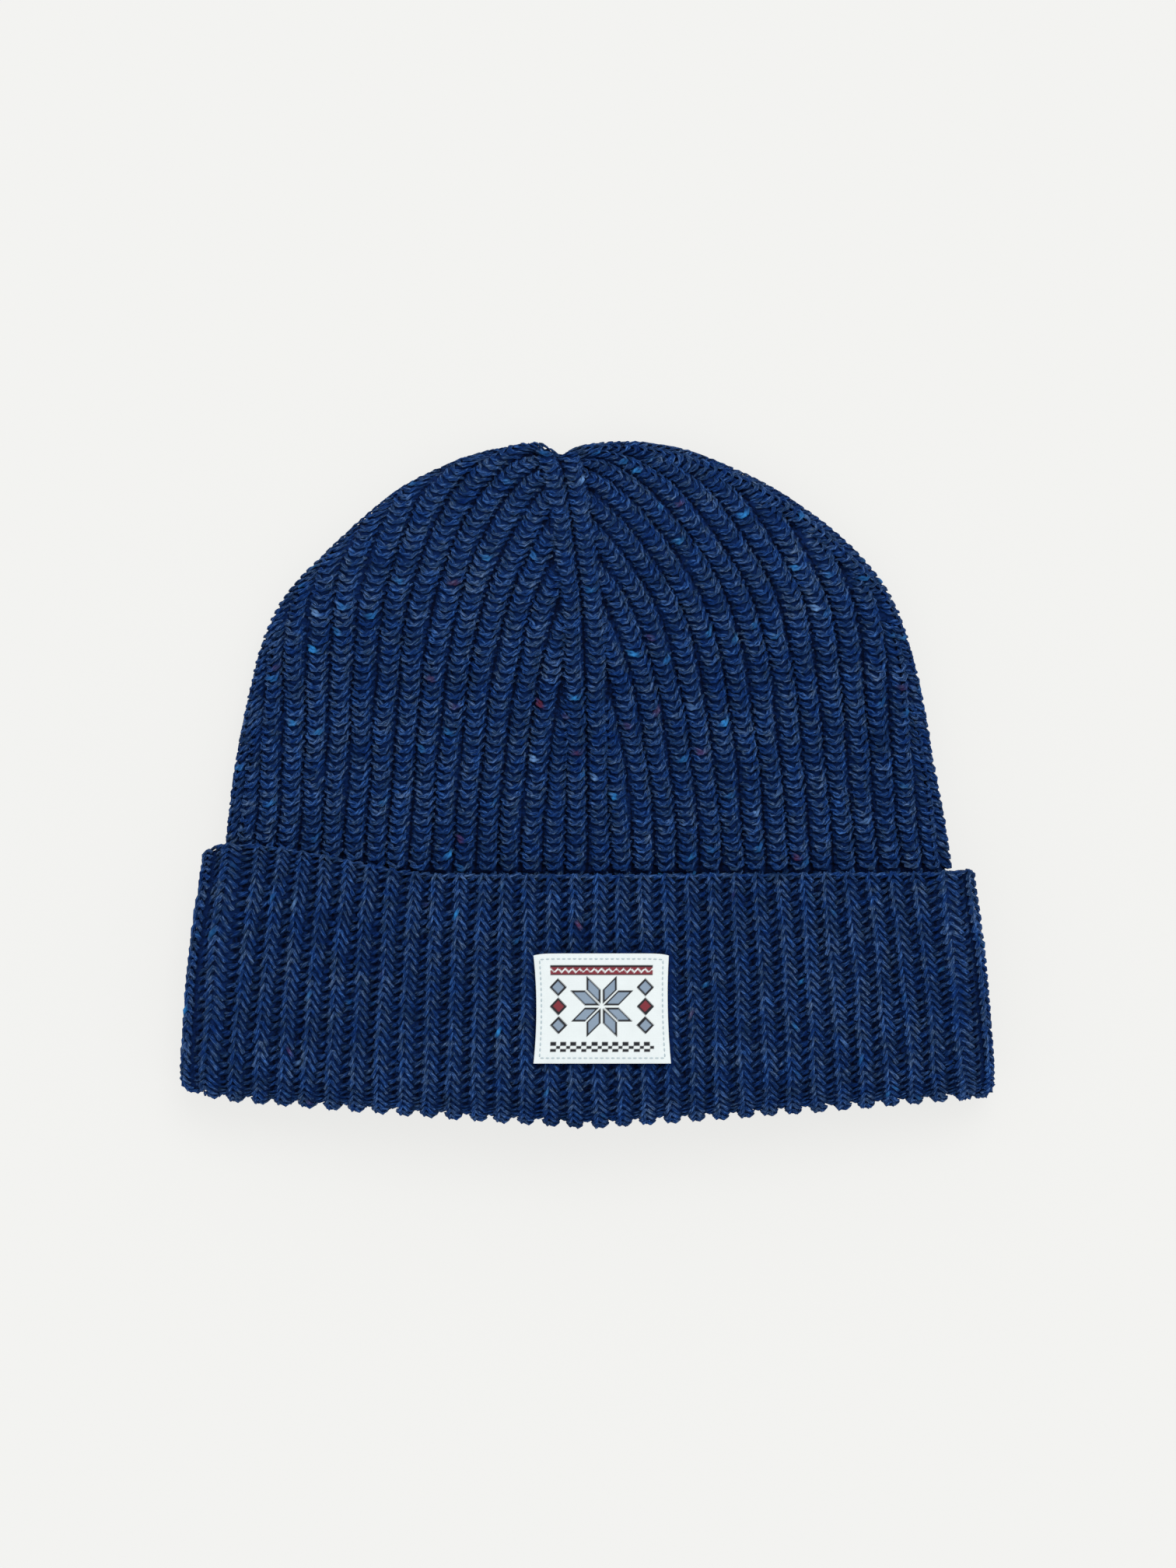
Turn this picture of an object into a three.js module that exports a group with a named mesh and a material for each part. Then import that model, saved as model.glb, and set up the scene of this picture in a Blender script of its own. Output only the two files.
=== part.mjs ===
// A ribbed knit watch cap that lies flat on its back, as it lies on a table or a shelf.
// +X is the wearer's left and right, +Y runs from the turned cuff to the gathered crown, +Z is up.
// The cap is one knitted tube: the crown runs down inside the cuff, turns at the fold, and comes
// back up outside as the cuff. A woven label is sewn to the front of the cuff.
import * as THREE from 'three';

// Driving dimensions, in millimetres.
const bodyWidth = 200; // the tube laid flat, where it goes into the cuff
const cuffHeight = 69.6; // from the fold to the cuff's top edge, on the middle of the front
const crownHeight = 119.6; // from the cuff's top edge to the top of the crown
const cuffFlare = 8.4; // how much wider the tube lies on each side at the fold
const sideFold = 16; // the tube's thickness where it folds at its two sides
const arch = 7; // how far the front rises above the side folds
const knitWall = 4.2; // one layer of knit, ribs included
const ribRelief = 1.4; // from a rib's crest to the groove beside it
const ribPitch = 6.1; // from one rib to the next where the tube is widest
const layerGap = 0.4; // between the tube and the cuff around it
const cuffSlack = 1.8; // how far the cuff's top edge stands off the tube besides
const hemSag = 7.9; // how far the middle of the fold hangs below its two ends
const lobeRise = 3.8; // how far the two lobes beside the gather rise above it
const dartShift = 7.6; // how far the gather lies to the left of the middle
const cornerLift = 7.4; // how far the cuff's left corner is pulled up
const labelWidth = 37.4;
const labelHeight = 30.4;
const labelThickness = 0.9;
const labelRight = 4.0; // from the cap's middle to the label's middle
const labelRise = 32.6; // from the fold to the label's middle
const contactGap = 0.3; // between touching pieces
const tuckLength = 1.8; // in ribs: how near a dart a rib starts to thin out

// What follows from them.
const foldRadius = knitWall + layerGap / 2;
const liftHeight = knitWall + layerGap;
const goreCount = 4;
const tubePerimeter = 2 * (bodyWidth - sideFold) + Math.PI * sideFold;
const ribsPerGore = Math.round(tubePerimeter / goreCount / ribPitch);

// One row for each section of the tube, from the fold to the gather.
// cuff, crown: its height as shares of the cuff's and the crown's. hem, lobe: the side folds' rise.
// left, right: its two edges as shares of half the width. flare, thick, arch, lift: shares of those
// sizes, where lift is the floor clearance. dart: the centre line's shift. ribs: the share of ribs left.
const sections = [
  { cuff: 0, crown: 0, hem: 1, lobe: 0, left: 1, right: 1, flare: 1, thick: 1, arch: 1, lift: 1, dart: 0.58, ribs: 1 },
  { cuff: 0.33, crown: 0, hem: 0.62, lobe: 0, left: 1, right: 1, flare: 0.78, thick: 1, arch: 1, lift: 1, dart: 0.58, ribs: 1 },
  { cuff: 0.66, crown: 0, hem: 0.3, lobe: 0, left: 1, right: 1, flare: 0.48, thick: 1, arch: 1, lift: 1, dart: 0.58, ribs: 1 },
  { cuff: 1, crown: 0, hem: 0.06, lobe: 0, left: 1, right: 1, flare: 0.08, thick: 1, arch: 1, lift: 1, dart: 0.58, ribs: 1 },
  { cuff: 1, crown: 0.1, hem: 0, lobe: 0, left: 0.995, right: 0.989, flare: 0, thick: 1, arch: 1, lift: 0.72, dart: 0.58, ribs: 1 },
  { cuff: 1, crown: 0.21, hem: 0, lobe: 0, left: 0.981, right: 0.966, flare: 0, thick: 1, arch: 1, lift: 0.25, dart: 0.6, ribs: 1 },
  { cuff: 1, crown: 0.32, hem: 0, lobe: 0, left: 0.96, right: 0.943, flare: 0, thick: 0.98, arch: 0.98, lift: 0.04, dart: 0.62, ribs: 1 },
  { cuff: 1, crown: 0.43, hem: 0, lobe: 0, left: 0.933, right: 0.92, flare: 0, thick: 0.96, arch: 0.94, lift: 0, dart: 0.66, ribs: 0.95 },
  { cuff: 1, crown: 0.54, hem: 0, lobe: 0, left: 0.897, right: 0.887, flare: 0, thick: 0.93, arch: 0.86, lift: 0, dart: 0.7, ribs: 0.87 },
  { cuff: 1, crown: 0.64, hem: 0, lobe: 0, left: 0.837, right: 0.838, flare: 0, thick: 0.9, arch: 0.74, lift: 0, dart: 0.75, ribs: 0.77 },
  { cuff: 1, crown: 0.735, hem: 0, lobe: 0, left: 0.733, right: 0.753, flare: 0, thick: 0.86, arch: 0.6, lift: 0, dart: 0.8, ribs: 0.65 },
  { cuff: 1, crown: 0.82, hem: 0, lobe: 0.05, left: 0.624, right: 0.638, flare: 0, thick: 0.8, arch: 0.44, lift: 0, dart: 0.85, ribs: 0.52 },
  { cuff: 1, crown: 0.89, hem: 0, lobe: 0.16, left: 0.515, right: 0.508, flare: 0, thick: 0.74, arch: 0.28, lift: 0, dart: 0.9, ribs: 0.4 },
  { cuff: 1, crown: 0.94, hem: 0, lobe: 0.45, left: 0.375, right: 0.36, flare: 0, thick: 0.66, arch: 0.14, lift: 0.07, dart: 0.95, ribs: 0.28 },
  { cuff: 1, crown: 0.957, hem: 0, lobe: 0.76, left: 0.275, right: 0.275, flare: 0, thick: 0.58, arch: 0.07, lift: 0.24, dart: 0.97, ribs: 0.2 },
  { cuff: 1, crown: 0.965, hem: 0, lobe: 0.95, left: 0.19, right: 0.19, flare: 0, thick: 0.48, arch: 0.03, lift: 0.44, dart: 1, ribs: 0.14 },
  { cuff: 1, crown: 0.968, hem: 0, lobe: 1, left: 0.15, right: 0.1, flare: 0, thick: 0.37, arch: 0, lift: 0.67, dart: 1, ribs: 0.09 },
  { cuff: 1, crown: 0.967, hem: 0, lobe: 0.74, left: 0.115, right: -0.01, flare: 0, thick: 0.24, arch: 0, lift: 0.93, dart: 1, ribs: 0.05 },
  { cuff: 1, crown: 0.965, hem: 0, lobe: 0.18, left: 0.086, right: -0.066, flare: 0, thick: 0.09, arch: 0, lift: 1.24, dart: 1, ribs: 0.02 },
];
const cuffTopRow = 3;
const apexRow = sections.length - 1;

// A column of the table at a row that need not be whole, on a smooth curve through its rows.
function column(name, row) {
  const i = THREE.MathUtils.clamp(Math.floor(row), 0, apexRow - 1);
  const t = row - i;
  const at = (k) => sections[THREE.MathUtils.clamp(k, 0, apexRow)][name];
  const slopeHere = (at(i + 1) - at(i - 1)) / 2;
  const slopeNext = (at(i + 2) - at(i)) / 2;
  const rise = at(i + 1) - at(i);
  const t2 = t * t;
  const t3 = t2 * t;
  return at(i) + rise * (3 * t2 - 2 * t3) + slopeHere * (t3 - 2 * t2 + t) + slopeNext * (t3 - t2);
}

// The sizes of the section at a row.
function sectionAt(row) {
  const radius = (column('thick', row) * sideFold) / 2;
  const leftEdge = -(column('left', row) * bodyWidth) / 2 - column('flare', row) * cuffFlare;
  const rightEdge = (column('right', row) * bodyWidth) / 2 + column('flare', row) * cuffFlare;
  const flat = rightEdge - leftEdge - 2 * radius;
  return {
    radius,
    leftEdge,
    rightEdge,
    flat,
    perimeter: 2 * flat + 2 * Math.PI * radius,
    centre: -column('dart', row) * dartShift,
    arch: column('arch', row) * arch,
    base: Math.max(0, column('lift', row)) * liftHeight,
    middleY:
      foldRadius + column('cuff', row) * (cuffHeight - foldRadius) + column('crown', row) * crownHeight,
    sideRise: column('hem', row) * hemSag + column('lobe', row) * lobeRise,
  };
}

// A point of the tube's outer face. around is the share of the perimeter from the front's centre
// line, to the right over the front and back under the cap. The section is a long slot with round
// ends: flat below, and arched above.
function tubePoint(row, around) {
  const s = sectionAt(row);
  const arc = Math.PI * s.radius;
  const fromLeft = around * s.perimeter + s.centre - s.leftEdge - s.radius;
  const d = THREE.MathUtils.euclideanModulo(fromLeft, s.perimeter);
  let x;
  let z;
  if (d <= s.flat) {
    x = s.leftEdge + s.radius + d;
    z = 2 * s.radius;
  } else if (d <= s.flat + arc) {
    const angle = (d - s.flat) / s.radius;
    x = s.rightEdge - s.radius + s.radius * Math.sin(angle);
    z = s.radius + s.radius * Math.cos(angle);
  } else if (d <= 2 * s.flat + arc) {
    x = s.rightEdge - s.radius - (d - s.flat - arc);
    z = 0;
  } else {
    const angle = (d - 2 * s.flat - arc) / s.radius;
    x = s.leftEdge + s.radius - s.radius * Math.sin(angle);
    z = s.radius - s.radius * Math.cos(angle);
  }
  const middle = (s.leftEdge + s.rightEdge) / 2;
  const fromMiddle = (2 * (x - middle)) / (s.rightEdge - s.leftEdge);
  const archShape = Math.pow(Math.max(0, 1 - fromMiddle * fromMiddle), 1.5);
  const upper = z / (2 * s.radius);
  const reach = x > s.centre ? s.rightEdge - s.centre : s.centre - s.leftEdge;
  const toSide = Math.min(1, Math.abs(x - s.centre) / reach);
  return new THREE.Vector3(
    x,
    s.middleY + s.sideRise * Math.pow(toSide, 1.1),
    s.base + z + s.arch * archShape * upper,
  );
}

// The face's outward direction there, and the direction along the tube towards the crown.
function tubeFrame(row, around) {
  const step = 0.01;
  const aroundStep = 0.0005;
  const low = Math.max(0, row - step);
  const high = Math.min(apexRow, row + step);
  const along = tubePoint(high, around).sub(tubePoint(low, around)).normalize();
  const across = tubePoint(row, around + aroundStep).sub(tubePoint(row, around - aroundStep)).normalize();
  const out = new THREE.Vector3().crossVectors(across, along).normalize();
  return { along, out };
}

// A point that far out of the tube's face and that far back below it, along the tube.
function offTube(row, around, outwards, below = 0) {
  const { along, out } = tubeFrame(row, around);
  return tubePoint(row, around).addScaledVector(out, outwards).addScaledVector(along, -below);
}

// The ribs are pressed flat where the cap's weight rests on them, on the underside.
function pressedRelief(row, around) {
  const { out } = tubeFrame(row, around);
  return ribRelief * THREE.MathUtils.smoothstep(out.z, -0.95, -0.55);
}

// A rib thins out over its last stretch before the dart that it ends at.
function tuckedRelief(row, around, key, ribsAcross) {
  const fromDart = THREE.MathUtils.smoothstep(ribsAcross / 2 - Math.abs(key), 0, tuckLength);
  const darted = THREE.MathUtils.smoothstep(1 - column('ribs', row), 0, 0.1);
  return pressedRelief(row, around) * THREE.MathUtils.lerp(1, fromDart, darted);
}

// The gap between tube and cuff opens towards the cuff's top edge, but not underneath.
function gapUnderCuff(row, around) {
  const { out } = tubeFrame(row, around);
  const opened = THREE.MathUtils.smoothstep(row / cuffTopRow, 0, 1) * THREE.MathUtils.smoothstep(out.z, -0.6, 0);
  return layerGap + cuffSlack * opened;
}

// The row of the cuff's top edge: level, but pulled up at the front's left corner.
function cuffTopAt(around) {
  const { out } = tubeFrame(cuffTopRow, around);
  const point = tubePoint(cuffTopRow, around);
  const leftwards = THREE.MathUtils.smoothstep(-point.x / (bodyWidth / 2), 0.4, 1);
  const front = THREE.MathUtils.smoothstep(out.z, -0.6, 0);
  const rowsPerMm = 1 / (sections[cuffTopRow + 1].crown * crownHeight);
  return cuffTopRow + cornerLift * rowsPerMm * leftwards * front;
}

// A mesh builder that joins rings of points. A ring is a list of gores, each a list of
// { key, vertex } from the dart on its left to the one on its right, where the key is the rib.
class Shell {
  constructor() {
    this.positions = [];
    this.triangles = [];
  }

  vertex(p) {
    this.positions.push(p.x, p.y, p.z);
    return this.positions.length / 3 - 1;
  }

  // place(key, around) gives a point. keys lists the ribs' places in a gore of that many ribs.
  ring(keys, ribsAcross, place) {
    const gores = [];
    for (let g = 0; g < goreCount; g += 1) {
      const gore = keys.map((key) => {
        const around = (g + 0.5 + key / ribsAcross) / goreCount;
        return { key, vertex: this.vertex(place(key, around)) };
      });
      gores.push(gore);
    }
    return gores.map((gore, g) => {
      const next = gores[(g + 1) % goreCount][0];
      return [...gore, { key: ribsAcross / 2, vertex: next.vertex }];
    });
  }

  triangle(a, b, c) {
    this.triangles.push(a, b, c);
  }

  // Joins two rings, gore by gore, rib to rib. The upper ring is the one ahead on the profile.
  join(lower, upper) {
    lower.forEach((lowerGore, g) => {
      const upperGore = upper[g];
      let i = 0;
      let j = 0;
      while (i < lowerGore.length - 1 || j < upperGore.length - 1) {
        const nextLower = i < lowerGore.length - 1 ? lowerGore[i + 1].key : Infinity;
        const nextUpper = j < upperGore.length - 1 ? upperGore[j + 1].key : Infinity;
        if (nextLower <= nextUpper) {
          this.triangle(lowerGore[i].vertex, lowerGore[i + 1].vertex, upperGore[j].vertex);
          i += 1;
        } else {
          this.triangle(lowerGore[i].vertex, upperGore[j + 1].vertex, upperGore[j].vertex);
          j += 1;
        }
      }
    });
  }

  // Closes a ring with a fan to a point ahead of it.
  close(ring, point) {
    const tip = this.vertex(point);
    ring.forEach((gore) => {
      for (let i = 0; i < gore.length - 1; i += 1) {
        this.triangle(gore[i].vertex, gore[i + 1].vertex, tip);
      }
    });
  }

  geometry() {
    const made = new THREE.BufferGeometry();
    made.setAttribute('position', new THREE.Float32BufferAttribute(this.positions, 3));
    made.setIndex(this.triangles);
    return made;
  }
}

// The places of the ribs' crests and grooves in a gore of that many ribs, counted in ribs from its
// middle. The dart on the left comes first, and the one on the right belongs to the next gore.
function ribKeys(ribsAcross) {
  const half = ribsAcross / 2;
  const offset = ribsPerGore / 2;
  const keys = [-half];
  for (let k = 1; k < 2 * ribsPerGore; k += 1) {
    const key = k / 2 - offset;
    if (Math.abs(key) < half - 0.3) {
      keys.push(key);
    }
  }
  return keys;
}

// Plain rings have one point for each rib, evenly spread.
function plainKeys() {
  return Array.from({ length: ribsPerGore }, (_, k) => k - ribsPerGore / 2);
}

function isCrest(key) {
  return Math.abs(((key + ribsPerGore / 2) % 1) - 0.5) < 0.01;
}

// The crown: the tube from the fold to the gather, hollow inside.
function crownGeometry() {
  const shell = new Shell();
  const hiddenRows = [0, 1.4, 2.75];
  const ribbedRows = [2.9, 3.5, 4, 5, 6, 7, 8, 8.5, 9, 9.5, 10, 10.5, 11, 11.5, 12, 12.5, 13, 14, 15, 16, 17, 18];
  const innerRows = [12.3, 11.5, 10.5, 9, 7, 5, 3, 1.4, 0];
  let last = null;
  const add = (ring) => {
    if (last) {
      shell.join(last, ring);
    }
    last = ring;
  };
  const plainRing = (row, outwards) =>
    shell.ring(plainKeys(), ribsPerGore, (key, around) => offTube(row, around, outwards));
  const startRing = plainRing(0, -knitWall);
  add(startRing);
  hiddenRows.forEach((row) => add(plainRing(row, -ribRelief / 2)));
  ribbedRows.forEach((row) => {
    const across = column('ribs', row) * ribsPerGore;
    add(
      shell.ring(ribKeys(across), across, (key, around) =>
        offTube(row, around, isCrest(key) ? 0 : -tuckedRelief(row, around, key, across)),
      ),
    );
  });
  const apex = sectionAt(apexRow);
  shell.close(last, new THREE.Vector3(apex.centre, apex.middleY, apex.base + apex.radius));

  // The inner face is joined from the rim up, so its rings are turned over to face inwards.
  const inner = innerRows.slice(0, -1).map((row) => plainRing(row, -knitWall));
  const end = sectionAt(innerRows[0]);
  const endPoint = new THREE.Vector3(end.centre, end.middleY + knitWall / 2, end.base + end.radius);
  const tip = shell.vertex(endPoint);
  inner[0].forEach((gore) => {
    for (let i = 0; i < gore.length - 1; i += 1) {
      shell.triangle(gore[i + 1].vertex, gore[i].vertex, tip);
    }
  });
  for (let k = 0; k < inner.length - 1; k += 1) {
    shell.join(inner[k], inner[k + 1]);
  }
  shell.join(inner[inner.length - 1], startRing);
  return shell.geometry();
}

// The cuff: the knit turns at the fold and comes up outside the tube.
function cuffGeometry() {
  const shell = new Shell();
  const rings = [];
  const turnSteps = 4;
  const faceShares = [0.3, 0.62, 0.9];
  const innerShares = [0.97, 0.6, 0.25];
  const edgeRound = knitWall * 0.3;
  const ribbed = (place) => shell.ring(ribKeys(ribsPerGore), ribsPerGore, place);
  const plain = (place) => shell.ring(plainKeys(), ribsPerGore, place);
  const turn = (angle, radius, around) =>
    offTube(0, around, layerGap / 2 - radius * Math.cos(angle), radius * Math.sin(angle));

  // The lip under the tube's end, then the outside of the turn.
  rings.push(plain((key, around) => offTube(0, around, 0, contactGap)));
  rings.push(plain((key, around) => offTube(0, around, -knitWall, contactGap)));
  for (let k = 1; k <= turnSteps; k += 1) {
    const angle = (k / turnSteps) * Math.PI;
    rings.push(
      ribbed((key, around) => {
        const relief = isCrest(key) ? 0 : pressedRelief(0, around) * Math.sin(angle / 2);
        return turn(angle, foldRadius - relief, around);
      }),
    );
  }

  // The outer face, with a rounded top edge.
  const rowAt = (share, around) => share * cuffTopAt(around);
  faceShares.forEach((share) => {
    rings.push(
      ribbed((key, around) => {
        const row = rowAt(share, around);
        const outer = gapUnderCuff(row, around) + knitWall;
        return offTube(row, around, outer - (isCrest(key) ? 0 : pressedRelief(row, around)));
      }),
    );
  });
  const topFace = (share, inset) => (key, around) => {
    const row = rowAt(share, around);
    return offTube(row, around, gapUnderCuff(row, around) + knitWall - inset);
  };
  rings.push(ribbed(topFace(0.975, edgeRound * 0.4)));
  rings.push(ribbed(topFace(1, edgeRound)));
  rings.push(ribbed(topFace(1, knitWall - edgeRound)));

  // The inner face, down to the inside of the turn.
  innerShares.forEach((share) => {
    rings.push(
      ribbed((key, around) => {
        const row = rowAt(share, around);
        return offTube(row, around, gapUnderCuff(row, around));
      }),
    );
  });
  rings.push(plain((key, around) => offTube(0, around, layerGap)));
  for (let k = 0; k < rings.length; k += 1) {
    shell.join(rings[k], rings[(k + 1) % rings.length]);
  }
  return shell.geometry();
}

// The row at which the tube's front face has a given height, at that share of the perimeter.
function rowAtHeight(y, around) {
  let low = 0;
  let high = apexRow / 2;
  for (let step = 0; step < 30; step += 1) {
    const row = (low + high) / 2;
    if (tubePoint(row, around).y < y) {
      low = row;
    } else {
      high = row;
    }
  }
  return (low + high) / 2;
}

// The label: a thin plate that follows the front of the cuff and lies on its ribs' crests.
function labelGeometry() {
  const acrossSteps = 8;
  const upSteps = 4;
  const perimeter = sectionAt(1).perimeter;
  const centre = sectionAt(1).centre;
  const shell = new Shell();
  const grid = (lift) => {
    const rows = [];
    for (let j = 0; j <= upSteps; j += 1) {
      const line = [];
      for (let i = 0; i <= acrossSteps; i += 1) {
        const x = labelRight + (i / acrossSteps - 0.5) * labelWidth;
        const y = labelRise + (j / upSteps - 0.5) * labelHeight;
        const around = (x - centre) / perimeter;
        const row = rowAtHeight(y, around);
        const outer = gapUnderCuff(row, around) + knitWall + contactGap;
        line.push(shell.vertex(offTube(row, around, outer + lift)));
      }
      rows.push(line);
    }
    return rows;
  };
  const under = grid(0);
  const over = grid(labelThickness);
  const quad = (a, b, c, d) => {
    shell.triangle(a, b, c);
    shell.triangle(a, c, d);
  };
  for (let j = 0; j < upSteps; j += 1) {
    for (let i = 0; i < acrossSteps; i += 1) {
      quad(over[j][i], over[j][i + 1], over[j + 1][i + 1], over[j + 1][i]);
      quad(under[j][i], under[j + 1][i], under[j + 1][i + 1], under[j][i + 1]);
    }
    quad(under[j][0], over[j][0], over[j + 1][0], under[j + 1][0]);
    quad(under[j + 1][acrossSteps], over[j + 1][acrossSteps], over[j][acrossSteps], under[j][acrossSteps]);
  }
  for (let i = 0; i < acrossSteps; i += 1) {
    quad(under[0][i + 1], over[0][i + 1], over[0][i], under[0][i]);
    quad(under[upSteps][i], over[upSteps][i], over[upSteps][i + 1], under[upSteps][i + 1]);
  }
  return shell.geometry();
}

const navyKnit = new THREE.MeshStandardMaterial({ color: 0x1d335f, roughness: 0.95, metalness: 0 });
const cuffKnit = new THREE.MeshStandardMaterial({ color: 0x1f3764, roughness: 0.95, metalness: 0 });
const wovenLabel = new THREE.MeshStandardMaterial({ color: 0xe9eef2, roughness: 0.85, metalness: 0 });

function namedMesh(name, geometry, material) {
  geometry.computeVertexNormals();
  const mesh = new THREE.Mesh(geometry, material);
  mesh.name = name;
  return mesh;
}

const cap = new THREE.Group();
cap.add(namedMesh('crown', crownGeometry(), navyKnit));
cap.add(namedMesh('cuff', cuffGeometry(), cuffKnit));
cap.add(namedMesh('label', labelGeometry(), wovenLabel));

// The origin is under the middle of the cap, on the surface that it lies on.
const box = new THREE.Box3().setFromObject(cap);
const middle = box.getCenter(new THREE.Vector3());
cap.position.set(-middle.x, -middle.y, -box.min.z);

export default cap;
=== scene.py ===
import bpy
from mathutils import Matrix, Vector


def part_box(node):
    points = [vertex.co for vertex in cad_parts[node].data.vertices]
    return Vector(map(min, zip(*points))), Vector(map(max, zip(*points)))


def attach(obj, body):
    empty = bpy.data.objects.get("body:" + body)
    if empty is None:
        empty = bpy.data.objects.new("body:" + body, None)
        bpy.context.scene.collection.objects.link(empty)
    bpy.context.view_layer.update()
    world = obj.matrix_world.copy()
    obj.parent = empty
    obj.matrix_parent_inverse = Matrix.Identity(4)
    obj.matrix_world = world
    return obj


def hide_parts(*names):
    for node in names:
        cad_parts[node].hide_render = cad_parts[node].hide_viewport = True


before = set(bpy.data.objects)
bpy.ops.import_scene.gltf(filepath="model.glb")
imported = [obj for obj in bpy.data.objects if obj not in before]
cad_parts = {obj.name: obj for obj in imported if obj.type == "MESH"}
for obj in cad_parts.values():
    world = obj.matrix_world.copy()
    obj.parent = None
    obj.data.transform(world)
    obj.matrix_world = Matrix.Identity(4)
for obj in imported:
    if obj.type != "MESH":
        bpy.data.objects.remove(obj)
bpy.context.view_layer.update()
FOLD_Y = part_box("cuff")[0].y  # the lowest point of the cuff's fold

import math
from types import SimpleNamespace

import bpy
import numpy as np

bl_info = {
    "name": "Ribbed Watch Cap",
    "version": (1, 0, 0),
    "blender": (4, 5, 0),
    "location": "3D View > Sidebar > Watch Cap",
    "description": "A ribbed knit watch cap lying flat, made stitch by stitch, with a woven label",
    "category": "Add Mesh",
}

# The tube is four gores between darts, and each gore is seventeen ribs wide where it is full.
GORES = 4
GORE_RIBS = 17
RIBS = GORES * GORE_RIBS
GORE_NAMES = ("front_right", "back_right", "back_left", "front_left")

# One row for each section of the tube, from the fold to the gather, in the columns' order.
# cuff, crown: its height as shares of the cuff's and the crown's. hem, lobe: the side folds' rise.
# left, right: its two edges as shares of half the width. flare, thick, arch, lift: shares of those
# sizes, where lift is the floor clearance. dart: the centre line's shift. ribs: the ribs left.
COLUMNS = ("cuff", "crown", "hem", "lobe", "left", "right", "flare", "thick", "arch", "lift",
           "dart", "ribs")
SECTIONS = np.array([
    (0, 0, 1, 0, 1, 1, 1, 1, 1, 1, 0, 1),
    (0.33, 0, 0.62, 0, 1, 1, 0.78, 1, 1, 1, 0, 1),
    (0.66, 0, 0.3, 0, 1, 1, 0.48, 1, 1, 1, 0, 1),
    (1, 0, 0.06, 0, 1, 1, 0.08, 1, 1, 1, 0, 1),
    (1, 0.1, 0, 0, 0.995, 0.989, 0, 1, 1, 0.72, 0, 1),
    (1, 0.21, 0, 0, 0.981, 0.966, 0, 1, 1, 0.25, 0.01, 0.98),
    (1, 0.32, 0, 0, 0.96, 0.943, 0, 0.98, 0.98, 0.04, 0.04, 0.945),
    (1, 0.43, 0, 0, 0.933, 0.92, 0, 0.96, 0.94, 0, 0.08, 0.895),
    (1, 0.54, 0, 0, 0.897, 0.887, 0, 0.93, 0.86, 0, 0.14, 0.83),
    (1, 0.64, 0, 0, 0.837, 0.838, 0, 0.9, 0.74, 0, 0.24, 0.745),
    (1, 0.735, 0, 0, 0.733, 0.753, 0, 0.86, 0.6, 0, 0.42, 0.635),
    (1, 0.82, 0, 0.05, 0.624, 0.638, 0, 0.8, 0.44, 0, 0.6, 0.52),
    (1, 0.89, 0, 0.16, 0.515, 0.508, 0, 0.74, 0.28, 0, 0.77, 0.4),
    (1, 0.94, 0, 0.45, 0.375, 0.36, 0, 0.66, 0.14, 0.07, 0.9, 0.28),
    (1, 0.957, 0, 0.76, 0.275, 0.275, 0, 0.58, 0.07, 0.24, 0.96, 0.2),
    (1, 0.965, 0, 0.95, 0.19, 0.19, 0, 0.48, 0.03, 0.44, 1, 0.14),
    (1, 0.968, 0, 1, 0.15, 0.1, 0, 0.37, 0, 0.67, 1, 0.09),
    (1, 0.967, 0, 0.74, 0.115, -0.01, 0, 0.24, 0, 0.93, 1, 0.05),
    (1, 0.965, 0, 0.18, 0.086, -0.066, 0, 0.09, 0, 1.24, 1, 0.02),
])
CUFF_TOP_ROW = 3
APEX_ROW = len(SECTIONS) - 1
TABLE_STEPS = 128  # finer rows worked out between each two of the table's
INNER_TIP_ROW = 12  # where the hollow inside the crown ends
NUDGE_ROWS, NUDGE_AROUND = 0.02, 0.0005  # the steps over which directions on the tube are taken
FLOOR_CLEARANCE = 0.00002  # the yarn's least height over the surface that the cap lies on
FIRST_STITCH = 0.0012  # from the cuff's top edge down to its first row of stitches
YARN_TIP = 0.7  # how far the end of a strand stands out, as a share of its radius


def smoothstep(x, low, high):
    """0 below low, 1 above high, and 3t^2 - 2t^3 between."""
    t = np.clip((x - low) / (high - low), 0, 1)
    return t * t * (3 - 2 * t)


def faces_up(out_z):
    """1 where the knit's face is level or looks up, and 0 where it looks down by 37 degrees."""
    return smoothstep(out_z, -0.6, 0)


def unit(v):
    """v over its own length."""
    return v / np.maximum(np.linalg.norm(v, axis=-1, keepdims=True), 1e-12)


def catmull_rom(values, rows):
    """The smooth curve through values at 0, 1, 2 and so on: a cubic between each two of them, whose
    slope at each is half the step from the one before to the one after."""
    last = len(values) - 1
    i = np.clip(np.floor(rows).astype(int), 0, last - 1)
    t = rows - i
    before, here = values[np.maximum(i - 1, 0)], values[i]
    after, beyond = values[i + 1], values[np.minimum(i + 2, last)]
    slope_here, slope_after = (after - before) / 2, (beyond - here) / 2
    return (here + (after - here) * (3 * t**2 - 2 * t**3)
            + slope_here * (t**3 - 2 * t**2 + t) + slope_after * (t**3 - t**2))


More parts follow.
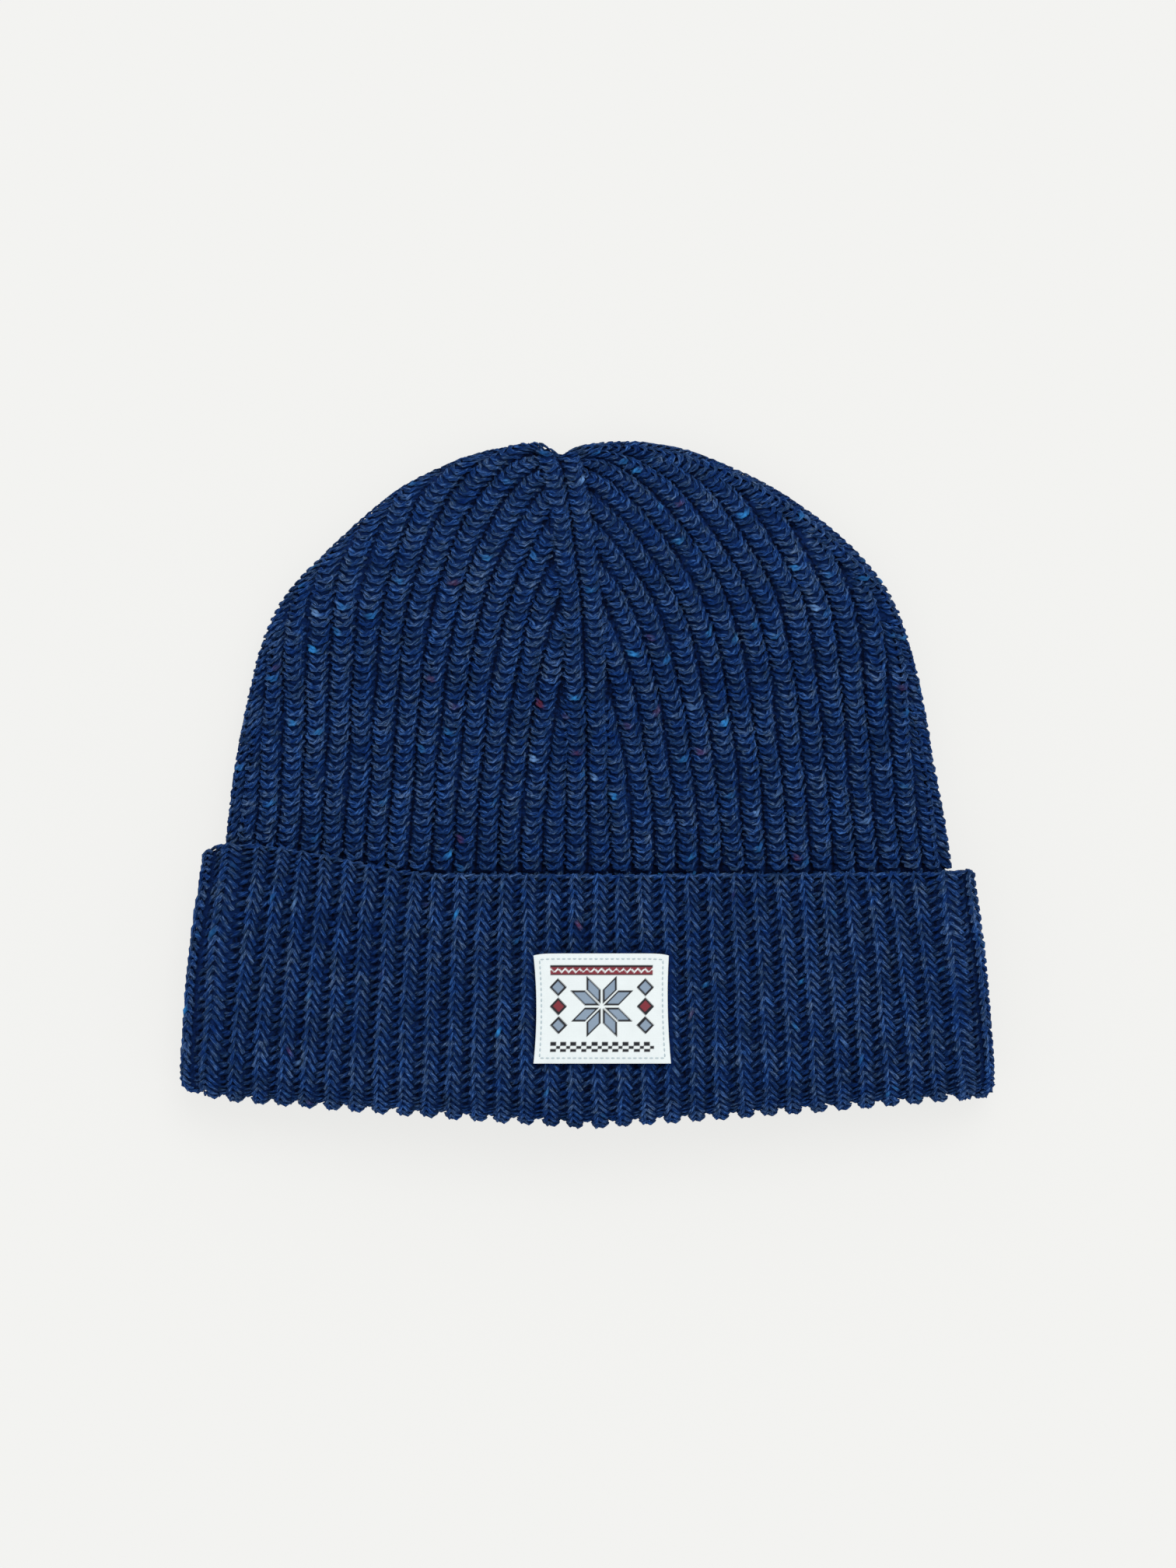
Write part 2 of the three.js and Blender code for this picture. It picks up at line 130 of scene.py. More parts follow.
class Tube:
    """The knitted tube's outer face, in metres. A place on it is a row of the table, from 0 at the
    fold, and around, the share of the perimeter to the right of the front's centre line."""

    def __init__(self, shape):
        self.shape = shape
        self.rows = np.linspace(0, APEX_ROW, APEX_ROW * TABLE_STEPS + 1)
        c = {name: catmull_rom(SECTIONS[:, i], self.rows) for i, name in enumerate(COLUMNS)}
        self.fold_radius = shape.knit_wall + shape.layer_gap / 2
        lift = shape.knit_wall + shape.layer_gap
        half = shape.body_width / 2
        radius = c["thick"] * shape.side_fold / 2
        left = -c["left"] * half - c["flare"] * shape.cuff_flare
        right = c["right"] * half + c["flare"] * shape.cuff_flare
        flat = right - left - 2 * radius
        self.table = {
            "radius": radius, "left": left, "right": right, "flat": flat,
            "perimeter": 2 * flat + 2 * np.pi * radius,
            "centre": -c["dart"] * shape.dart_shift,
            "arch": c["arch"] * shape.arch,
            "base": np.maximum(0, c["lift"]) * lift,
            "middle": (self.fold_radius + c["cuff"] * (shape.cuff_height - self.fold_radius)
                       + c["crown"] * shape.crown_height),
            "rise": c["hem"] * shape.hem_sag + c["lobe"] * shape.lobe_rise,
            "ribs": c["ribs"],
        }

    def at(self, name, row):
        """A size of the section at that row."""
        return np.interp(row, self.rows, self.table[name])

    def point(self, row, around):
        """A slot with round ends, flat below and arched above. From its upper left corner, d runs
        over the top, round the right end, back underneath and round the left end."""
        radius, flat, left, right, centre = (
            self.at(name, row) for name in ("radius", "flat", "left", "right", "centre"))
        perimeter = self.at("perimeter", row)
        arc = np.pi * radius
        d = np.mod(around * perimeter + centre - left - radius, perimeter)
        right_turn = np.clip((d - flat) / radius, 0, np.pi)
        left_turn = np.clip((d - 2 * flat - arc) / radius, 0, np.pi)
        over, under = np.minimum(d, flat), np.clip(d - flat - arc, 0, flat)
        x = left + radius + over - under + radius * (np.sin(right_turn) - np.sin(left_turn))
        z = radius * (2 + np.cos(right_turn) - np.cos(left_turn))
        from_middle = (2 * x - left - right) / (right - left)
        arch = np.maximum(0, 1 - from_middle**2) ** 1.5 * z / (2 * radius)
        reach = np.where(x > centre, right - centre, centre - left)
        to_side = np.minimum(1, np.abs(x - centre) / reach)
        rounded = np.where(x < centre, self.shape.fold_round, 0.0) * smoothstep(to_side, 0.9, 1.02)
        rise = to_side**1.1 + rounded * smoothstep(row, CUFF_TOP_ROW + 1, CUFF_TOP_ROW)
        y = self.at("middle", row) + self.at("rise", row) * rise + FOLD_Y
        return np.stack([x, y, self.at("base", row) + z + self.at("arch", row) * arch], axis=-1)

    def across(self, row, around):
        """The unit vector across the tube, to the right on its front."""
        return unit(self.point(row, around + NUDGE_AROUND) - self.point(row, around - NUDGE_AROUND))

    def directions(self, row, around):
        """Unit vectors along the tube, across it, and out of its face."""
        low, high = np.maximum(0, row - NUDGE_ROWS), np.minimum(APEX_ROW, row + NUDGE_ROWS)
        along = unit(self.point(high, around) - self.point(low, around))
        across = self.across(row, around)
        return along, across, unit(np.cross(across, along))

    def offset(self, row, around, outwards, below=0.0):
        """The point moved out of the face by outwards, and back along the tube by below."""
        along, _, out = self.directions(row, around)
        outwards, below = np.asarray(outwards)[..., None], np.asarray(below)[..., None]
        return self.point(row, around) + out * outwards - along * below

    def cuff_gap(self, row, out_z):
        """Between tube and cuff: it opens towards the cuff's top edge, but not underneath."""
        opened = smoothstep(row / CUFF_TOP_ROW, 0, 1) * faces_up(out_z)
        return self.shape.layer_gap + self.shape.cuff_slack * opened

    def cuff_top(self, around):
        """The row of the cuff's top edge: level, but pulled up at the front's left and rounded off
        where it turns to the back."""
        row = np.full_like(around, CUFF_TOP_ROW)
        x, out = self.point(row, around)[..., 0], self.directions(row, around)[2]
        leftwards = smoothstep(-x / (self.shape.body_width / 2), 0.4, 1)
        lift = self.shape.corner_lift * leftwards * faces_up(out[..., 2])
        turned = np.clip((-out[..., 0] - 0.6) / 0.4, 0, 1)
        drop = self.shape.corner_round * (1 - np.sqrt(1 - turned**2))
        rows_per_metre = 1 / (SECTIONS[CUFF_TOP_ROW + 1, 1] * self.shape.crown_height)
        return row + rows_per_metre * (lift - drop)

    def cuff_face(self, around, down, w):
        """The turned-up knit's face: down the outside from its top edge, round the fold, and up
        inside the tube, with w out of the face. Outside, the row is top (1 - down / length). On the
        fold, the point turns about the fold's axis by (down - length) / radius. Inside, it is the
        tube's inner face."""
        length = self.shape.cuff_height - self.fold_radius
        radius = self.fold_radius
        angle = np.clip((down - length) / radius, 0, np.pi)
        inside = np.maximum(0, down - length - np.pi * radius) * CUFF_TOP_ROW / length
        row = np.where(down < length, self.cuff_top(around) * (1 - down / length), inside)
        along, _, out = self.directions(row, around)
        turned = self.shape.layer_gap / 2 + (radius + w) * np.cos(angle)
        outer = self.cuff_gap(row, out[..., 2]) + self.shape.knit_wall + w
        outwards = np.where(down < length, outer, turned)
        below = (radius + w) * np.sin(angle)
        return self.point(row, around) + out * outwards[..., None] - along * below[..., None]

    def row_at_height(self, y, around):
        """The row where the front face has that height over the fold, by halving."""
        low, high = np.zeros_like(around), np.full_like(around, APEX_ROW / 2)
        for _ in range(24):
            row = (low + high) / 2
            above = self.point(row, around)[..., 1] - FOLD_Y > y
            low, high = np.where(above, low, row), np.where(above, row, high)
        return (low + high) / 2


# Meshes from arrays.


def make_piece(name, points, faces, material, uv=None, values=None, colours=None):
    """A mesh object from its points and faces. uv is given for each corner of each face, and
    values and colours hold one number or colour for each point."""
    corners, starts = faces
    mesh = bpy.data.meshes.new(name)
    mesh.vertices.add(len(points))
    mesh.vertices.foreach_set("co", np.asarray(points, np.float32).ravel())
    mesh.loops.add(len(corners))
    mesh.loops.foreach_set("vertex_index", np.asarray(corners, np.int32))
    mesh.polygons.add(len(starts))
    mesh.polygons.foreach_set("loop_start", np.asarray(starts, np.int32))
    mesh.polygons.foreach_set("use_smooth", np.ones(len(starts), bool))
    if uv is not None:
        layer = mesh.uv_layers.new(name="Yarn")
        layer.data.foreach_set("uv", np.asarray(uv, np.float32).ravel())
    for kind, field, given in (("FLOAT", "value", values), ("FLOAT_COLOR", "color", colours)):
        for key, value in (given or {}).items():
            attribute = mesh.attributes.new(key, kind, "POINT")
            attribute.data.foreach_set(field, np.asarray(value, np.float32).ravel())
    mesh.update(calc_edges=True)
    mesh.validate()
    mesh.materials.append(material)
    piece = bpy.data.objects.new(name, mesh)
    bpy.context.collection.objects.link(piece)
    return piece


def settle(piece, slot, *nodes):
    """The piece rides with the cap and stands for those nodes. slot is not used."""
    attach(piece, "root")
    if nodes:
        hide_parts(*nodes)


def grid_corners(rows, columns, wrap_rows=False, wrap_columns=False):
    """The four corners of each cell of a grid of points whose index is row * columns + column."""
    r = np.arange(rows if wrap_rows else rows - 1)[:, None]
    c = np.arange(columns if wrap_columns else columns - 1)[None, :]
    r1, c1 = (r + 1) % rows * columns, (c + 1) % columns
    return np.stack([r * columns + c, r * columns + c1, r1 + c1, r1 + c], axis=-1).reshape(-1, 4)


def make_faces(quads, *fans):
    """Quads and then fans of triangles, as the faces' corners one after another and the place of
    each face's first corner."""
    fans = np.concatenate(fans) if fans else np.empty((0, 3), int)
    starts = np.concatenate([np.arange(len(quads)) * 4, quads.size + np.arange(len(fans)) * 3])
    return np.concatenate([quads.ravel(), fans.ravel()]), starts


def tube_faces(rings, sides):
    """The faces of a closed tube, whose points are its rings and then one more at each end."""
    s = np.arange(sides)
    after, last_ring = (s + 1) % sides, (rings - 1) * sides
    start = np.stack([after, s, np.full(sides, rings * sides)], axis=-1)
    end = np.stack([last_ring + s, last_ring + after, np.full(sides, rings * sides + 1)], axis=-1)
    return make_faces(grid_corners(rings, sides, wrap_columns=True), start, end)


def frame_along(path):
    """Unit vectors along a path, to its left in the knit's face, and out of the knit."""
    along = unit(np.gradient(path, axis=0))
    out = unit(np.array([0, 0, 1.0]) - along * along[:, 2:3])
    return along, np.cross(out, along), out


def strand(path, radius, sides, uv_start):
    """A short closed tube of yarn along a path, as a shape to repeat. Its points are
    centre + radius (cos q left + sin q out) for sides steps of q, with one more at each end. It
    knows each point's share of the way along it, and its pattern's coordinates are millimetres
    along the yarn and round it."""
    tangent, left, out = frame_along(path)
    q = np.arange(sides) * 2 * np.pi / sides
    rim = np.cos(q)[None, :, None] * left[:, None] + np.sin(q)[None, :, None] * out[:, None]
    tips = np.stack([-tangent[0] * radius[0], tangent[-1] * radius[-1]]) * YARN_TIP
    length = np.concatenate([[0], np.cumsum(np.linalg.norm(np.diff(path, axis=0), axis=1))])
    rings = len(path)
    corners, starts = tube_faces(rings, sides)
    u = uv_start + length * 1000
    v = np.arange(sides + 1) * (2 * np.pi * radius.mean() * 1000) / sides
    lookup = grid_corners(rings, sides + 1)
    uv = [np.stack([np.repeat(u, sides + 1)[lookup], np.tile(v, rings)[lookup]], axis=-1)]
    for end, tip, round_it in ((u[0], -YARN_TIP, (v[1:], v[:-1], v[:-1])),
                               (u[-1], YARN_TIP, (v[:-1], v[1:], v[:-1]))):
        uv.append(np.stack([np.tile([end, end, end + tip], sides),
                            np.stack(round_it, axis=-1).ravel()], axis=-1))
    return SimpleNamespace(
        centre=np.concatenate([np.repeat(path, sides, axis=0), path[[0, -1]]]),
        spread=np.concatenate([(rim * radius[:, None, None]).reshape(-1, 3), tips]),
        along=np.concatenate([np.repeat(length / length[-1], sides), [0, 1]]),
        corners=corners, starts=starts, uv=np.concatenate([part.reshape(-1, 2) for part in uv]))


def twisted(path, radius, sides, spread, angle, turns, uv_start=0.0):
    """The two plies of a yarn along a path, twisted about each other. A ply's path is
    path + spread (sin q left + cos q out), with q rising along it by turns whole turns, and the
    other ply is opposite, with its pattern 16 mm on. The twist slants both plies to the left of
    the path where they lie on top."""
    step = np.linalg.norm(np.diff(path, axis=0), axis=1)
    share = np.concatenate([[0], np.cumsum(step)]) / step.sum()
    _, left, out = frame_along(path)
    plies = []
    for opposite in (0, np.pi):
        q = (angle + opposite + 2 * np.pi * turns * (share - 0.5))[:, None]
        ply = path + spread * (np.sin(q) * left + np.cos(q) * out)
        plies.append(strand(ply, radius, sides, uv_start + opposite * 5))
    return plies


def joined(plies):
    """Several yarns of two plies each as one shape to repeat. Each yarn is a part of it, with its
    own whole number in the share along it."""
    points = np.cumsum([0] + [len(p.centre) for p in plies])
    corners = np.cumsum([0] + [len(p.corners) for p in plies])
    return SimpleNamespace(
        parts=len(plies) // 2,
        centre=np.concatenate([p.centre for p in plies]),
        spread=np.concatenate([p.spread for p in plies]),
        uv=np.concatenate([p.uv for p in plies]),
        along=np.concatenate([p.along + i // 2 for i, p in enumerate(plies)]),
        corners=np.concatenate([p.corners + points[i] for i, p in enumerate(plies)]),
        starts=np.concatenate([p.starts + corners[i] for i, p in enumerate(plies)]))


def make_knit(name, shape, placed, tone, fleck, material, rng):
    """A piece of copies of shape, whose points lie at placed. Each copy's pattern begins within
    60 mm of yarn elsewhere."""
    count = len(placed)
    corners = (np.arange(count)[:, None] * len(shape.centre) + shape.corners).ravel()
    starts = (np.arange(count)[:, None] * len(shape.corners) + shape.starts).ravel()
    uv = (shape.uv[None] + rng.uniform(0, 60, (count, 1, 2))).reshape(-1, 2)
    return make_piece(name, placed.reshape(-1, 3), (corners, starts), material, uv,
                      {"tone": tone}, {"fleck": fleck})


def soft_noise(rng, x, y, period):
    """Value noise: random values on a grid, joined by smoothstep. It repeats in x after period."""
    rows = int(np.ceil(y.max())) + 3
    grid = rng.random((rows, period))
    xi, yi = np.floor(x).astype(int), np.floor(y).astype(int)
    fx, fy = smoothstep(x - xi, 0, 1), smoothstep(y - yi, 0, 1)
    x0, x1 = xi % period, (xi + 1) % period
    lower = grid[yi, x0] * (1 - fx) + grid[yi, x1] * fx
    upper = grid[yi + 1, x0] * (1 - fx) + grid[yi + 1, x1] * fx
    return lower * (1 - fy) + upper * fy


def dyed(yarn, rng, shape, across, up):
    """The colours of stitches at those ribs and rows. Their tone wanders softly over the knit and
    jumps a little from stitch to stitch. A fleck is a tuft of bright fibre spun into the yarn, as
    strong as e^-(d / width)^2 at the distance d from its place. Returns the fleck's weight at each
    point of each stitch, its colour with that weight as alpha, and the tone."""
    count, points = len(across), len(shape.along)
    drift = soft_noise(rng, across / 2.3, up / 2.1, int(round(RIBS / 2.3)))
    fine = soft_noise(rng, across / 0.9, up / 1.1, int(round(RIBS / 0.9)))
    tone = np.clip(0.5 + 0.45 * (drift - 0.5) + 0.36 * (fine - 0.5)
                   + rng.normal(0, 0.07, count), 0, 1)
    pick = rng.random(count)
    strong, faint = pick < yarn.fleck_share, pick > 1 - yarn.faint_fleck_share
    strength = np.where(strong, rng.uniform(0.5, 0.95, count),
                        np.where(faint, rng.uniform(0.15, 0.42, count), 0))
    place = rng.uniform(0.25, 0.75, count) + rng.integers(shape.parts, size=count)
    longest = yarn.fleck_length * (1 if shape.parts == 1 else 1.6)
    width = rng.uniform(0.55, 1, count) * longest
    kind = rng.random(count)
    palette = np.array([srgb(yarn.fleck_bright), srgb(yarn.fleck_pale), srgb(yarn.fleck_red)])
    colour = palette[np.where(kind < 0.72, 0, np.where(kind < 0.9, 1, 2))]
    near = np.exp(-((shape.along[None] - place[:, None]) / width[:, None]) ** 2)
    weight = strength[:, None] * np.minimum(1, near * 1.25)
    fleck = np.concatenate([np.repeat(colour[:, None, :3], points, axis=1), weight[..., None]],
                           axis=-1)
    return weight, fleck, np.repeat(tone[:, None], points, axis=1)


# Colours and materials.

WAVE = 0.314  # a wave texture of this scale over a length repeats once in that length


def srgb(text):
    """A colour written as #RRGGBB, as linear red, green and blue with alpha 1."""
    values = np.array([int(text[i:i + 2], 16) / 255 for i in (1, 3, 5)])
    linear = np.where(values <= 0.04045, values / 12.92, ((values + 0.055) / 1.055) ** 2.4)
    return (*linear, 1.0)


def add_node(tree, kind, links=None, **settings):
    """Adds a node. settings are its properties, or its sockets' values where the name has an
    underscore for each space, or is _1 for the socket 1. links gives each input's source."""
    node = tree.nodes.new(kind)
    for key, value in settings.items():
        if hasattr(node, key):
            setattr(node, key, value)
        else:
            socket = int(key[1:]) if key[1:].isdigit() else key.replace("_", " ")
            node.inputs[socket].default_value = value
    for key, source in (links or {}).items():
        tree.links.new(source, node.inputs[key])
    return node


def set_stops(ramp, first, last, *between):
    """Gives a colour ramp its stops, each as its place and its colour."""
    stops = ramp.color_ramp.elements
    for stop, (place, colour) in zip(stops, (first, last)):
        stop.position, stop.color = place, colour
    for place, colour in between:
        stops.new(place).color = colour


def new_material(name, preview):
    """A material without nodes yet, its tree, and its texture space: metres in the object. The
    preview is the colour that the solid view shows."""
    material = bpy.data.materials.new(name)
    material.use_nodes = True
    material.diffuse_color = preview
    tree = material.node_tree
    tree.nodes.clear()
    return material, tree, add_node(tree, "ShaderNodeTexCoord").outputs["Object"]


def yarn_material(name, yarn, depth):
    """Heathered wool: each ply is spun of many dyed fibres, whose streaks of light and dark blue
    run along it, 0.4 mm wide and a few millimetres long, under a thin haze of loose fibre that
    takes any gloss away."""
    material, tree, place = new_material(name, srgb(yarn.yarn_mid))
    uv = add_node(tree, "ShaderNodeUVMap", uv_map="Yarn").outputs["UV"]
    tone = add_node(tree, "ShaderNodeAttribute", attribute_name="tone").outputs["Fac"]
    fleck = add_node(tree, "ShaderNodeAttribute", attribute_name="fleck")

    # The yarn's coordinates are millimetres along it and round it, turned by the fibres' slant.
    slanted = add_node(tree, "ShaderNodeMapping", {"Vector": uv},
                       Rotation=(0, 0, math.radians(-20)), Scale=(0.55, 2.4, 1))
    fibre = add_node(tree, "ShaderNodeTexNoise", {"Vector": slanted.outputs["Vector"]},
                     Scale=1.0, Detail=3.0, Roughness=0.65).outputs["Fac"]
    heather = add_node(tree, "ShaderNodeTexNoise", {"Vector": place},
                       Scale=500.0, Detail=3.0, Roughness=0.7).outputs["Fac"]

    # The share of light fibre: the stitch's tone (lowered on the cuff's sunken bars as painted
    # shade), single streaks, and the dye's own unevenness, each weighted, and the whole moved so
    # that its middle is 1/2.
    weights = (0.32, 2.0, 0.5)
    light = None
    for part, weight in zip((tone, fibre, heather), weights):
        sources = {0: part} if light is None else {0: part, 2: light}
        light = add_node(tree, "ShaderNodeMath", sources, operation="MULTIPLY_ADD",
                         _1=weight, _2=0.5 - sum(weights) / 2).outputs[0]
    ramp = add_node(tree, "ShaderNodeValToRGB", {"Fac": light})
    set_stops(ramp, (0.1, srgb(yarn.yarn_dark)), (0.95, srgb(yarn.yarn_light)),
              (0.52, srgb(yarn.yarn_mid)))
    # The fibres' dyes lie between cobalt and slate, and their shares change along the yarn.
    patch = add_node(tree, "ShaderNodeTexNoise", {"Vector": place},
                     Scale=260.0, Detail=2.0, Roughness=0.6)
    cast = add_node(tree, "ShaderNodeValToRGB", {"Fac": patch.outputs["Fac"]})
    set_stops(cast, (0.36, (0.54, 0.86, 1.18, 1)), (0.64, (1.22, 1.02, 0.88, 1)))
    wool = add_node(tree, "ShaderNodeVectorMath",
                    {0: ramp.outputs["Color"], 1: cast.outputs["Color"]}, operation="MULTIPLY")
    # A mix of colours has its factor at socket 0, its two colours at 6 and 7, its result at 2.
    flecked = add_node(tree, "ShaderNodeMix", {
        0: fleck.outputs["Alpha"], 6: wool.outputs["Vector"], 7: fleck.outputs["Color"],
    }, data_type="RGBA").outputs[2]

    bump = add_node(tree, "ShaderNodeBump", {"Height": fibre}, Strength=depth, Distance=0.0004)
    shader = add_node(tree, "ShaderNodeBsdfPrincipled",
                      {"Base Color": flecked, "Normal": bump.outputs["Normal"]},
                      Roughness=0.92, Specular_IOR_Level=0.06, Sheen_Weight=0.05,
                      Sheen_Roughness=0.4, Sheen_Tint=srgb(yarn.haze))
    add_node(tree, "ShaderNodeOutputMaterial", {"Surface": shader.outputs["BSDF"]})
    return material


def backing_material(yarn):
    """The inner strands of the same knit, behind its loops: as heathered as the yarn under the
    ribs' crests, where fibre fills the gaps between the loops, and painted nearly black in the
    grooves as shade. The crown and the cuff share it."""
    name = "navy_wool_inner_strands"
    if name in bpy.data.materials:
        return bpy.data.materials[name]
    material, tree, place = new_material(name, srgb(yarn.yarn_dark))
    rows = add_node(tree, "ShaderNodeTexWave", {"Vector": place}, bands_direction="Y",
                    Scale=WAVE / yarn.course, Distortion=2.0, Detail=2.0, Detail_Scale=2.0)
    fibre = add_node(tree, "ShaderNodeTexNoise", {"Vector": place},
                     Scale=1100.0, Detail=3.0).outputs["Fac"]
    # 1 on a rib's open crest and lower in grooves and other recesses: the ramp paints the lower
    # values as shade, towards the nearly black groove colour.
    painted_light = add_node(tree, "ShaderNodeAttribute", attribute_name="painted_light").outputs["Fac"]
    light = add_node(tree, "ShaderNodeMath", {0: fibre, 2: painted_light},
                     operation="MULTIPLY_ADD", _1=0.9)
    ramp = add_node(tree, "ShaderNodeValToRGB", {"Fac": light.outputs[0]})
    set_stops(ramp, (0.55, srgb(yarn.groove_shade)), (0.8, srgb(yarn.yarn_deep)))
    height = add_node(tree, "ShaderNodeMath", {0: rows.outputs["Fac"], 2: fibre},
                      operation="MULTIPLY_ADD", _1=1.5)
    bump = add_node(tree, "ShaderNodeBump", {"Height": height.outputs[0]},
                    Strength=0.8, Distance=0.0006)
    shader = add_node(tree, "ShaderNodeBsdfPrincipled",
                      {"Base Color": ramp.outputs["Color"], "Normal": bump.outputs["Normal"]},
                      Roughness=0.95, Specular_IOR_Level=0.1)
    add_node(tree, "ShaderNodeOutputMaterial", {"Surface": shader.outputs["BSDF"]})
    return material


def label_material(label):
    """Damask-woven polyester: a dense weave with a soft, even face. Its threads are 0.12 mm apart,
    and are drawn 0.3 mm apart so that the weave shows."""
    material, tree, place = new_material("damask_woven_label", srgb(label.ground))
    dye = add_node(tree, "ShaderNodeAttribute", attribute_name="dye")
    warp, weft = (
        add_node(tree, "ShaderNodeTexWave", {"Vector": place}, bands_direction=direction,
                 Scale=WAVE / apart, Distortion=0.4, Detail=1.0).outputs["Fac"]
        for direction, apart in (("X", 0.0003), ("Y", 0.00034)))
    weave = add_node(tree, "ShaderNodeMath", {0: warp, 1: weft}, operation="ADD")
    soil = add_node(tree, "ShaderNodeTexNoise", {"Vector": place}, Scale=300.0, Detail=4.0)
    shade = add_node(tree, "ShaderNodeMapRange", {"Value": soil.outputs["Fac"]},
                     To_Min=0.93, To_Max=1.02)
    tint = add_node(tree, "ShaderNodeVectorMath",
                    {0: dye.outputs["Color"], "Scale": shade.outputs["Result"]}, operation="SCALE")
    bump = add_node(tree, "ShaderNodeBump", {"Height": weave.outputs[0]},
                    Strength=0.25, Distance=0.0001)
    shader = add_node(tree, "ShaderNodeBsdfPrincipled",
                      {"Base Color": tint.outputs["Vector"], "Normal": bump.outputs["Normal"]},
                      Roughness=0.72, Specular_IOR_Level=0.3)
    add_node(tree, "ShaderNodeOutputMaterial", {"Surface": shader.outputs["BSDF"]})
    return material


def thread_material(label):
    """Spun polyester sewing thread: smooth, slightly silky, with its twist too fine to see."""
    material, tree, place = new_material("polyester_sewing_thread", srgb(label.thread))
    fibre = add_node(tree, "ShaderNodeTexNoise", {"Vector": place}, Scale=3000.0, Detail=2.0)
    ramp = add_node(tree, "ShaderNodeValToRGB", {"Fac": fibre.outputs["Fac"]})
    set_stops(ramp, (0, srgb(label.thread_shade)), (1, srgb(label.thread)))
    shader = add_node(tree, "ShaderNodeBsdfPrincipled", {"Base Color": ramp.outputs["Color"]},
                      Roughness=0.6)
    add_node(tree, "ShaderNodeOutputMaterial", {"Surface": shader.outputs["BSDF"]})
    return material


def floor_material(stage):
    """A translucent white sheet lit from behind as well, so that it is pale and even right up to
    the cap, with only a faint shadow at the contact."""
    white = srgb(stage.floor_colour)
    material, tree, place = new_material("backlit_white_sheet", white)
    tooth = add_node(tree, "ShaderNodeTexNoise", {"Vector": place}, Scale=1500.0, Detail=2.0)
    bump = add_node(tree, "ShaderNodeBump", {"Height": tooth.outputs["Fac"]},
                    Strength=0.02, Distance=0.0001)
    shader = add_node(tree, "ShaderNodeBsdfPrincipled", {"Normal": bump.outputs["Normal"]},
                      Roughness=1.0, Specular_IOR_Level=0.0, Emission_Color=white,
                      Base_Color=(*(c * stage.floor_shade for c in white[:3]), 1.0),
                      Emission_Strength=1 - stage.floor_shade * stage.floor_light)
    add_node(tree, "ShaderNodeOutputMaterial", {"Surface": shader.outputs["BSDF"]})
    return material


# The crown's knit.


def rib_end(x, inner_half, spacing):
    """How far a rib at x from the gore's middle has dived beside the outermost ones, from 0 to 1.
    Between those two, there is a room of inner_half on either side."""
    return smoothstep(np.abs(x), inner_half - 0.6 * spacing, inner_half + 0.3 * spacing)


class RibLines:
    """The centre lines of the crown's ribs, from inside the cuff to the gather. In each gore, the
    two ribs beside its darts follow them to the top. The ribs between keep their own distance from
    the gore's middle, lean as it narrows, and end where they meet those two."""

    SAMPLES = 700
    GAP = 10.0  # set between two lines' lengths, so that all of them are one rising list
    NARROWEST = 0.0011  # half the width of a gore in which its last two ribs end

    def __init__(self, tube, yarn):
        rows = np.linspace(2.82, APEX_ROW - 0.35, self.SAMPLES)
        perimeter = tube.at("perimeter", rows)
        half = perimeter / (2 * GORES)
        self.pitch = tube.at("perimeter", CUFF_TOP_ROW) / RIBS
        edge_width = np.minimum(self.pitch, half)
        inner_half = half - edge_width
        spacing = perimeter / (RIBS * tube.at("ribs", rows))
        number = (np.arange(GORE_RIBS) - GORE_RIBS // 2)[:, None]
        is_edge = np.abs(number) == GORE_RIBS // 2
        x = np.where(is_edge, np.sign(number) * (half - edge_width / 2), number * spacing)
        alive = np.where(is_edge, half > self.NARROWEST, np.abs(x) <= inner_half + 0.3 * spacing)
        dive = np.where(is_edge, 0.0, yarn.rib_dive * rib_end(x, inner_half, spacing))
        around = (np.arange(GORES)[:, None, None] + 0.5) / GORES + x / perimeter
        row = np.broadcast_to(rows, around.shape)
        centre = tube.point(row, around)
        tangent, across = unit(np.gradient(centre, axis=2)), tube.across(row, around)
        per_row = tube.point(row + NUDGE_ROWS, around) - tube.point(row - NUDGE_ROWS, around)
        per_row = per_row / (2 * NUDGE_ROWS)
        drift = (per_row * across).sum(-1)
        up = unit(per_row - drift[..., None] * across)
        lean_cos = (tangent * up).sum(-1)
        step = np.linalg.norm(np.diff(centre, axis=2), axis=-1)

        def per_line(values):
            """The values for each line in turn."""
            return np.broadcast_to(values, around.shape).reshape(RIBS, -1)

        self.length = np.pad(np.cumsum(step, axis=2), ((0, 0), (0, 0), (1, 0))).reshape(RIBS, -1)
        self.key = (self.length + np.arange(RIBS)[:, None] * self.GAP).ravel()
        self.values = {name: per_line(values).ravel() for name, values in {
            "row": row, "around": around, "perimeter": perimeter, "dive": dive, "drift": drift,
            "climb": (per_row * up).sum(-1),
            "lean_cos": lean_cos, "lean_sin": (tangent * across).sum(-1),
            "width": np.where(is_edge, edge_width, spacing * np.abs(lean_cos)) / self.pitch,
        }.items()}
        end = np.where(per_line(alive), self.length, 0).max(axis=1)
        count = np.floor(end / yarn.course).astype(int)
        self.line = np.repeat(np.arange(RIBS), count)
        self.course = np.arange(len(self.line)) - np.repeat(np.cumsum(count) - count, count)
        self.start = (self.course + 0.5) * yarn.course

    def sample(self, line, length):
        """Every value at that length along that line."""
        key = np.clip(length, 0, self.length[:, -1][line]) + line * self.GAP
        return {name: np.interp(key, self.key, value) for name, value in self.values.items()}


def pressed_by_cuff(tube, row, around, low, high):
    """1 where the cuff presses on the crown, up to low rows over the cuff's top edge, and 0 from
    high rows over it, where a row is 12 mm."""
    return 1 - smoothstep(row - tube.cuff_top(around), low, high)


def side_turn(out):
    """1 at the side folds, where out is level, and 0 where it points up or down by 37 degrees."""
    return 1 - smoothstep(np.abs(out[..., 2]), 0.1, 0.6)


